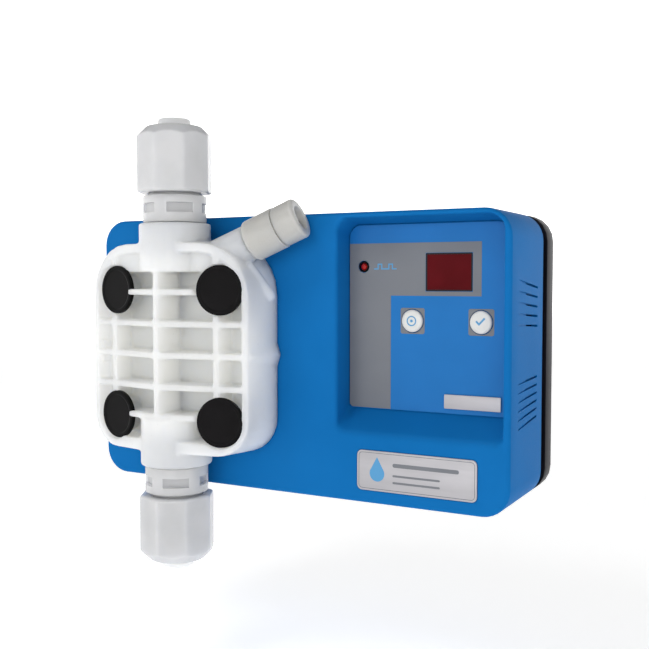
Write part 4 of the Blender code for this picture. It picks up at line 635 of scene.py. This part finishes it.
def build_housing():
    rings = [(case_outline(), SHELL_BACK), (case_outline(), CASE_FRONT + FRONT_BEVEL)]
    for index in range(1, ROUND_STEPS + 1):
        angle = math.pi / 2 * index / ROUND_STEPS
        rings.append((case_outline(FRONT_BEVEL * (1 - math.cos(angle))),
                      CASE_FRONT + FRONT_BEVEL * (1 - math.sin(angle))))
    floor_y = recess_high.y + GAP
    depth = floor_y - CASE_FRONT
    for index in range(ROUND_STEPS + 1):
        angle = math.pi / 2 * index / ROUND_STEPS
        sunk = RECESS_LIP * (1 - math.cos(angle))
        rings.append((recess_outline(sunk / depth, 1 - math.sin(angle)), CASE_FRONT + sunk))
    rings.append((recess_outline(1 - RECESS_FOOT / depth), floor_y - RECESS_FOOT))
    rings.append((recess_outline(1.0), floor_y))
    shell = loft("front_housing_shell", rings)
    cavity = sheet_piece("cavity", case_outline(CASE_WALL), SHELL_BACK + MM,
                         CASE_FRONT + CASE_WALL)
    cut(cavity, sheet_piece("recess_wall", recess_outline(0.0, CASE_WALL / RECESS_LIP),
                            floor_y + CASE_WALL, CASE_FRONT - MM))

    front = (0.0, -1.0, 0.0)
    head = Vector((HEAD_X, CASE_FRONT, 0.0))
    tools = [cavity, rod("head_opening", HEAD_OPENING, head, front, *THROUGH_WALL)]
    for x in (-SCREW_PITCH, SCREW_PITCH):
        for z in (-SCREW_PITCH, SCREW_PITCH):
            tools.append(rod(f"screw_hole_{len(tools)}", SCREW_HOLE, head + Vector((x, 0.0, z)),
                             front, *THROUGH_WALL))
    for name, radius in FLOOR_HOLES:
        at = middle(name)
        at.y = floor_y
        tools.append(rod(f"{name}_hole", radius, at, front, *THROUGH_FLOOR))
    window = middle("display_window")
    window.y = floor_y
    tools.append(block("display_hole", DISPLAY_HOLE, window))
    for name, radius in SIDE_HOLES:
        at = middle(name)
        at.x = case_low.x
        tools.append(rod(f"{name}_hole", radius, at, (1.0, 0.0, 0.0), *SIDE_REACH))
    low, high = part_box("name_plate")
    seat = rounded_outline(low.x - GAP, high.x + GAP, low.z - GAP, high.z + GAP, (SEAT_CORNER,) * 4)
    tools.append(sheet_piece("plate_seat", seat, high.y, CASE_FRONT - MM))
    lean = math.atan2(VENT_GROOVE - VENT_START, VENT_BACK - VENT_FRONT)
    tools += vent_blocks(VENT_CUTTER, VENT_HEIGHT, VENT_FRONT, VENT_BACK, lean)
    tools += vent_blocks(VENT_REACH, VENT_SLOT, VENT_THROUGH, VENT_BACK - GAP)
    cut(shell, *tools)
    return finished(shell, "blue_plastic", "pump", ["front_housing"])


def build_rear():
    finished(edged("rear_cover", COVER_EDGE, 3), "cover_plastic", "pump",
             ["rear_cover"])
    finished(edged("case_gasket", COVER_EDGE, 3), "rubber", "pump",
             ["case_gasket"])
    finished(edged("cable_gland", GLAND_EDGE), "black_plastic", "pump",
             ["cable_gland"])


# ---------------------------------------------------------------- control panel

def window_block(name, grow, y):
    low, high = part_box("display_window")
    size = (high.x - low.x + 2 * grow, WINDOW_REACH, high.z - low.z + 2 * grow)
    return block(name, size, ((low.x + high.x) / 2, y, (low.z + high.z) / 2))


def round_hole(node, radius, y):
    at = middle(node)
    at.y = y
    return rod(f"{node}_opening", radius, at, (0.0, -1.0, 0.0), -OPENING_REACH, OPENING_REACH)


def build_panel():
    film = sheet_piece("panel_film", rounded_outline(
        recess_low.x, recess_high.x, recess_low.z, recess_high.z, FILM_CORNERS),
        recess_high.y, FILM_FRONT)
    key_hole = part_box("cal_key")[1].x - middle("cal_key").x + GAP
    cut(film, window_block("film_window", GAP, FILM_FRONT),
        round_hole("status_lamp", LAMP_HOLE, FILM_FRONT),
        round_hole("cal_key", key_hole, FILM_FRONT), round_hole("set_key", key_hole, FILM_FRONT))
    finished(film, "blue_film", "pump", ["panel_overlay"])

    # Grey print: a band across the display and a leg down the left side.
    left = recess_low.x + PRINT_EDGE
    bottom = recess_low.z + PRINT_EDGE
    band = [(left, bottom + MM), (left + MM, bottom), (LEG_RIGHT, bottom), (LEG_RIGHT, BAND_UNDER),
            (BAND_RIGHT, BAND_UNDER), (BAND_RIGHT, BAND_TOP), (left, BAND_TOP)]
    grey = sheet_piece("panel_print", band, FILM_FRONT, FILM_FRONT - PRINT)
    cut(grey, window_block("print_window", 2 * GAP, FILM_FRONT),
        round_hole("status_lamp", LAMP_PRINT_HOLE, FILM_FRONT))
    finished(grey, "grey_ink", "pump")

    low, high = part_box("display_window")
    border = sheet_piece("window_border", rounded_outline(
        low.x - WINDOW_RIM, high.x + WINDOW_RIM, low.z - WINDOW_RIM, high.z + WINDOW_RIM,
        (WINDOW_CORNER,) * 4, 3), FILM_FRONT - PRINT, FILM_FRONT - 2 * PRINT)
    cut(border, window_block("border_window", -WINDOW_LAP, FILM_FRONT))
    finished(border, "dark_ink", "pump")

    # Square halo round each key.
    for key in ("cal_key", "set_key"):
        at = middle(key)
        ring = sheet_piece(f"{key}_halo", rounded_outline(
            at.x - HALO, at.x + HALO, at.z - HALO, at.z + HALO, (HALO_CORNER,) * 4, 4),
            FILM_FRONT, FILM_FRONT - PRINT)
        cut(ring, round_hole(key, key_hole, FILM_FRONT))
        finished(ring, "grey_ink", "pump")

    # A pulse mark beside the lamp.
    lamp = middle("status_lamp")
    line, step, rise = PULSE_LINE, PULSE_STEP, PULSE_RISE
    x = lamp.x + PULSE_START
    path = [(x, -rise), (x + step, -rise), (x + step, rise), (x + 2 * step, rise),
            (x + 2 * step, -rise), (x + 4 * step, -rise), (x + 4 * step, rise),
            (x + 5 * step, rise), (x + 5 * step, -rise), (x + 6 * step, -rise)]
    for index, ((x0, z0), (x1, z1)) in enumerate(zip(path, path[1:])):
        outline = rounded_outline(min(x0, x1) - line / 2, max(x0, x1) + line / 2,
                                  lamp.z + min(z0, z1) - line / 2, lamp.z + max(z0, z1) + line / 2,
                                  (line * PULSE_ROUND,) * 4, 2)
        y = FILM_FRONT - PRINT - index % 2 * PRINT / 4
        finished(sheet_piece(f"pulse_mark_{index}", outline, y, y - PRINT), "pale_ink", "pump")


def build_keys():
    for key in ("cal_key", "set_key"):
        low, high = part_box(key)
        radius = (high.x - low.x) / 2
        at = middle(key)
        at.y = low.y
        depth = high.y - low.y
        dome = [(radius * share, height) for share, height in KEY_DOME]
        profile = [(0.0, 0.0), *dome, (radius, -KEY_SKIRT), (KEY_STEM, -KEY_SKIRT),
                   (KEY_STEM, -depth), (0.0, -depth)]
        finished(turned(f"{key}_cap", profile, at, (0.0, -1.0, 0.0), radius=0.3 * MM, steps=64),
                 "key_film", key, [key])

    # Generic symbols: a ring with a point for calibration, a tick for set.
    front = (0.0, -1.0, 0.0)
    at = middle("cal_key")
    at.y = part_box("cal_key")[0].y + SYMBOL_SUNK
    inner, outer = CAL_RING
    ring = [(inner, SYMBOL_HIGH), (outer, SYMBOL_HIGH), (outer, 0.0), (inner, 0.0)]
    finished(turned("cal_ring", ring, at, front, closed=True, radius=0.0, steps=48), "pale_ink",
             "cal_key")
    point = [(0.0, SYMBOL_HIGH), (CAL_POINT, SYMBOL_HIGH), (CAL_POINT, 0.0), (0.0, 0.0)]
    finished(turned("cal_point", point, at, front, radius=0.0, steps=32), "pale_ink", "cal_key")
    at = middle("set_key")
    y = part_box("set_key")[0].y + SYMBOL_SUNK
    outline = [(at.x + x * MM, at.z + z * MM) for x, z in SET_TICK]
    finished(sheet_piece("set_tick", outline, y, y - SYMBOL_HIGH), "pale_ink", "set_key")


def build_lamp():
    low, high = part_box("status_lamp")
    at = middle("status_lamp")
    at.y = FILM_FRONT - PRINT
    radius = (high.x - low.x) / 2
    inner = radius + BEZEL_GAP
    outer = radius + BEZEL_RIM
    bezel = [(inner, BEZEL_TOP), (radius + BEZEL_LIP, BEZEL_TOP), (outer, 0.0),
             (outer, -BEZEL_FOOT), (inner, -BEZEL_FOOT)]
    finished(turned("lamp_bezel", bezel, at, (0.0, -1.0, 0.0), closed=True, radius=0.1 * MM,
                    steps=48), "black_plastic", "pump")
    at.y = low.y
    depth = high.y - low.y
    dome = [(radius * math.sin(a), -radius * (1 - math.cos(a)))
            for a in [math.pi / 2 * i / LENS_STEPS for i in range(LENS_STEPS + 1)]]
    finished(turned("lamp_lens", dome + [(radius, -depth), (0.0, -depth)], at, (0.0, -1.0, 0.0),
                    radius=0.0, steps=48), "red_lens", "pump", ["status_lamp"])


def build_plates():
    for node, corner in PLATE_CORNERS:
        low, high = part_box(node)
        outline = rounded_outline(low.x, high.x, low.z, high.z, (corner,) * 4)
        plate = sheet_piece(f"{node}_foil", outline, high.y, low.y)
        edge = plate.modifiers.new("edge", "BEVEL")
        edge.width = PLATE_BEVEL
        edge.segments = 2
        edge.limit_method = "ANGLE"
        settle(plate)
        finished(plate, "silver_label", "pump", [node])

    # A thin border line, a plain drop and three bars.
    low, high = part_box("name_plate")
    inset = BORDER_INSET
    outer_corner, inner_corner = BORDER_CORNERS
    front = low.y
    border = sheet_piece("plate_border", rounded_outline(
        low.x + inset, high.x - inset, low.z + inset, high.z - inset, (outer_corner,) * 4),
        front + PRINT / 2, front - PRINT / 2)
    inner = inset + BORDER_LINE
    hole = sheet_piece("border_hole", rounded_outline(
        low.x + inner, high.x - inner, low.z + inner, high.z - inner, (inner_corner,) * 4),
        front + MM, front - MM)
    cut(border, hole)
    finished(border, "grey_ink", "pump")

    height = high.z - low.z
    across, up = DROP_PLACE
    centre = Vector((low.x + height * across, 0.0, (low.z + high.z) / 2 + up * height))
    radius = height * DROP_RADIUS
    drop = [(centre.x, centre.z + DROP_TIP * radius)]
    for index in range(DROP_STEPS + 1):
        angle = DROP_SHOULDER - (math.pi + 2 * DROP_SHOULDER) * index / DROP_STEPS
        drop.append((centre.x + radius * math.cos(angle), centre.z + radius * math.sin(angle)))
    finished(sheet_piece("plate_drop", drop, front + PRINT / 2, front - PRINT / 2), "pale_ink",
             "pump")
    left = centre.x + height * BAR_START
    for index, (level, reach, thick) in enumerate(PLATE_BARS):
        z = (low.z + high.z) / 2 + level * height
        right = left + (high.x - BAR_END - left) * reach
        finished(sheet_piece(f"plate_bar_{index}", rounded_outline(
            left, right, z - thick / 2, z + thick / 2, (thick * BAR_ROUND,) * 4, 3),
            front + PRINT / 2, front - PRINT / 2), "grey_ink", "pump")


# ---------------------------------------------------------------- pump head

def build_head():
    extra = []
    for label, end, out in (("upper", DISCHARGE_END, 1.0), ("lower", SUCTION_END, -1.0)):
        inner = SOCKET_BORE + 0.1 * MM
        profile = [(inner, 0.0), (SOCKET_RADIUS, 0.0), (SOCKET_RADIUS, -SOCKET_MELT),
                   (inner, -SOCKET_MELT)]
        extra.append(turned(f"{label}_socket", profile, (HEAD_X, VALVE_Y, end), (0.0, 0.0, out),
                            closed=True, radius=0.8 * MM))
    finished(moulded("pump_head", HEAD_VOXEL, HEAD_FACES, extra), "natural_pp", "pump",
             ["pump_head"])


def build_caps():
    peg_end = -CAP_THICKNESS - PEG_LENGTH
    dish = [(0.0, -CAP_DISH), (CAP_RADIUS - CAP_RAMP, -CAP_DISH), (CAP_RADIUS - CAP_RIM, 0.0),
            (CAP_RADIUS, 0.0), (CAP_RADIUS, -CAP_THICKNESS), (PEG_RADIUS, -CAP_THICKNESS),
            (PEG_END, peg_end), (0.0, peg_end)]
    for column, x in (("left", -SCREW_PITCH), ("right", SCREW_PITCH)):
        side = math.copysign(1.0, x)
        normal = Vector((side * math.sin(HEAD_SLOPE), -math.cos(HEAD_SLOPE), 0.0))
        for row, z in (("lower", -SCREW_PITCH), ("upper", SCREW_PITCH)):
            node = f"screw_cap_{row}_{column}"
            at = Vector((HEAD_X + x, CASE_FRONT + CAP_FRONT, z))
            finished(turned(f"{node}_dished", dish, at, normal, radius=0.6 * MM), "black_plastic",
                     "pump", [node])


def thread_wave(start, end):
    """Radius of a screw thread between two heights, fading out at both ends."""
    def wave(r, h, angle):
        if not start < h < end or abs(r - NECK_RADIUS) > THREAD_NEAR:
            return r
        phase = (h / THREAD_PITCH - angle / (2 * math.pi)) % 1.0
        valley = 1.0 - abs(2.0 * phase - 1.0)
        fade = min(1.0, (h - start) / THREAD_PITCH, (end - h) / THREAD_PITCH)
        return r - (NECK_RADIUS - THREAD_ROOT) * valley * fade
    return wave


def build_valve(label, end, out, window_angle):
    place = (HEAD_X, VALVE_Y, end)
    direction = (0.0, 0.0, out)
    thread = SOCKET_BORE - GAP
    bore = TUBE_BORE + 0.5 * MM
    inner_end = -SOCKET_DEPTH + 0.4 * MM
    count = int((NECK_TOP - THREAD_START) / THREAD_PITCH * STEPS_PER_PITCH)
    neck = [(NECK_RADIUS, NECK_TOP - (NECK_TOP - THREAD_START) * i / count)
            for i in range(count + 1)]
    soft, knee = COLLAR_SOFT, COLLAR_KNEE
    profile = [(bore, BODY_END), (NECK_RADIUS - NECK_CHAMFER, BODY_END), *neck,
               (NECK_RADIUS, COLLAR_END), (COLLAR_RADIUS - soft, COLLAR_END),
               (COLLAR_RADIUS - knee, COLLAR_END - knee),
               (COLLAR_RADIUS, COLLAR_END - soft), (COLLAR_RADIUS, GAP + soft),
               (COLLAR_RADIUS - knee, GAP + knee), (COLLAR_RADIUS - soft, GAP),
               (thread, GAP), (thread, inner_end), (BODY_BORE, inner_end), (BODY_BORE, LEDGE),
               (bore, LEDGE)]
    body = turned(f"{label}_valve_threaded", profile, place, direction, closed=True, radius=0.0,
                  wave=thread_wave(THREAD_START, NECK_TOP))
    tools = []
    for index in range(WINDOWS):
        turn = Matrix.Rotation(window_angle + 2 * math.pi * index / WINDOWS, 3, "Z")
        centre = Vector((COLLAR_RADIUS, 0.0, out * WINDOW_HEIGHT))
        tools.append(block(f"window_{index}", WINDOW_SIZE, Vector(place) + turn @ centre, turn))
    cut(body, *tools)
    finished(body, "milky_pp", "pump", [f"{label}_valve_body"])

    start = BODY_END + GAP
    flange = NECK_RADIUS - FLANGE_INSET
    insert = [(TUBE_BORE, INSERT_END), (INSERT_RADIUS, INSERT_END),
              (INSERT_RADIUS, start + INSERT_SHOULDER), (flange, start + INSERT_FLANGE),
              (flange, start), (TUBE_BORE, start)]
    finished(turned(f"{label}_insert_turned", insert, place, direction, closed=True,
                    radius=1.1 * MM, steps=64), "natural_pp", f"{label}_insert",
             [f"{label}_tube_insert"])
    finished(moulded(f"{label}_tube_nut", NUT_VOXEL, NUT_FACES), "milky_pp", f"{label}_nut",
             [f"{label}_tube_nut"])


def build_bleed_valve():
    foot = BLEED_START - BLEED_STEM_LENGTH
    narrow, wide = BLEED_CONE
    body = [(BLEED_BORE, BLEED_SEAM - GAP), (BLEED_RADIUS, BLEED_SEAM - GAP, SEAM_EDGE),
            (BLEED_RADIUS, BLEED_START, SHOULDER_EDGE), (BLEED_STEM, BLEED_START),
            (BLEED_STEM, foot), (BLEED_SEAT, foot), (BLEED_SEAT, BLEED_START - narrow),
            (BLEED_BORE, BLEED_START - wide)]
    finished(turned("bleed_body_turned", body, BLEED_FOOT, BLEED_AXIS, closed=True,
                    radius=0.5 * MM), "bleed_pp", "pump", ["bleed_valve_body"])
    knob_radius = BLEED_RADIUS - KNOB_INSET
    knob = [(KNOB_HOLE, BLEED_SEAM + KNOB_DEEP), (KNOB_MOUTH, BLEED_END),
            (knob_radius, BLEED_END, KNOB_EDGE), (knob_radius, BLEED_SEAM, SEAM_EDGE),
            (KNOB_HOLE, BLEED_SEAM)]
    finished(turned("bleed_knob_turned", knob, BLEED_FOOT, BLEED_AXIS, closed=True,
                    radius=0.5 * MM), "bleed_pp", "bleed_knob", ["bleed_knob"])


# ---------------------------------------------------------------- remaining CAD nodes, stage

NODE_LOOKS = {
    "display_window": "red_window", "transformer": "lamination", "solenoid_yoke": "lamination",
    "coil_winding": "copper", "terminal_block": "terminal_green", "coil_bobbin": "natural_pp",
    "display_board": "circuit_board", "main_board": "circuit_board", "diaphragm": "ptfe",
    "cal_switch": "black_plastic", "set_switch": "black_plastic", "display_module": "black_plastic",
}


def dress_cad_nodes():
    for name, node in frame["nodes"].items():
        look = NODE_LOOKS.get(name, "steel")
        if name.endswith("o_ring"):
            look = "rubber"
        elif name.endswith("valve_seat"):
            look = "ptfe"
        elif name.endswith("_ball"):
            look = "ceramic"
        elif name.endswith("ball_cage"):
            look = "natural_pp"
        node.data.materials.clear()
        node.data.materials.append(looks[look])


def area_light(name, place, size, power):
    light = bpy.data.lights.new(name, "AREA")
    light.energy = power
    light.size = size
    obj = bpy.data.objects.new(name, light)
    obj.location = place
    obj.rotation_euler = (Vector(LIGHT_TARGET) - Vector(place)).to_track_quat("-Z", "Y").to_euler()
    bpy.context.scene.collection.objects.link(obj)


def staged(name, bm, glow):
    """Pale surface of the set, lit from within like a light table."""
    surface = from_bmesh(name, bm)
    look = finish(name, (0.90, 0.90, 0.90), (0.88, 0.88, 0.88), 0.8, mottle=0.3)
    shader = look.node_tree.nodes["Principled BSDF"]
    shader.inputs["Emission Color"].default_value = (1.0, 1.0, 1.0, 1.0)
    shader.inputs["Emission Strength"].default_value = glow
    surface.data.materials.append(look)


def build_stage():
    floor_z = cad_box[0].z - FLOOR_DROP
    floor = bmesh.new()
    bmesh.ops.create_grid(floor, x_segments=1, y_segments=1, size=STAGE_RADIUS)
    bmesh.ops.translate(floor, vec=(0.0, 0.0, floor_z), verts=floor.verts)
    staged("floor", floor, FLOOR_GLOW)
    wall = bmesh.new()
    bmesh.ops.create_cone(wall, segments=96, radius1=STAGE_RADIUS, radius2=STAGE_RADIUS,
                          depth=STAGE_WALL)
    bmesh.ops.translate(wall, vec=(0.0, 0.0, floor_z + STAGE_WALL / 2), verts=wall.verts)
    staged("surround", wall, WALL_GLOW)

    world = bpy.data.worlds.new("studio")
    world.use_nodes = True
    world.node_tree.nodes["Background"].inputs["Color"].default_value = (1.0, 1.0, 1.0, 1.0)
    world.node_tree.nodes["Background"].inputs["Strength"].default_value = SKY
    bpy.context.scene.world = world
    for name, place, size, power in LIGHTS:
        area_light(name, place, size, power)

    camera = bpy.data.cameras.new("camera")
    camera.lens = CAMERA_LENS
    camera.sensor_width = CAMERA_SENSOR
    eye = bpy.data.objects.new("camera", camera)
    eye.location = CAMERA_PLACE
    eye.rotation_euler = (CAMERA_PITCH, 0.0, CAMERA_TURN)
    bpy.context.scene.collection.objects.link(eye)
    bpy.context.scene.camera = eye
    bpy.context.scene.view_settings.view_transform = "Standard"


dress_cad_nodes()
build_housing()
build_rear()
build_panel()
build_keys()
build_lamp()
build_plates()
build_head()
build_caps()
for valve in VALVES:
    build_valve(*valve)
build_bleed_valve()
build_stage()
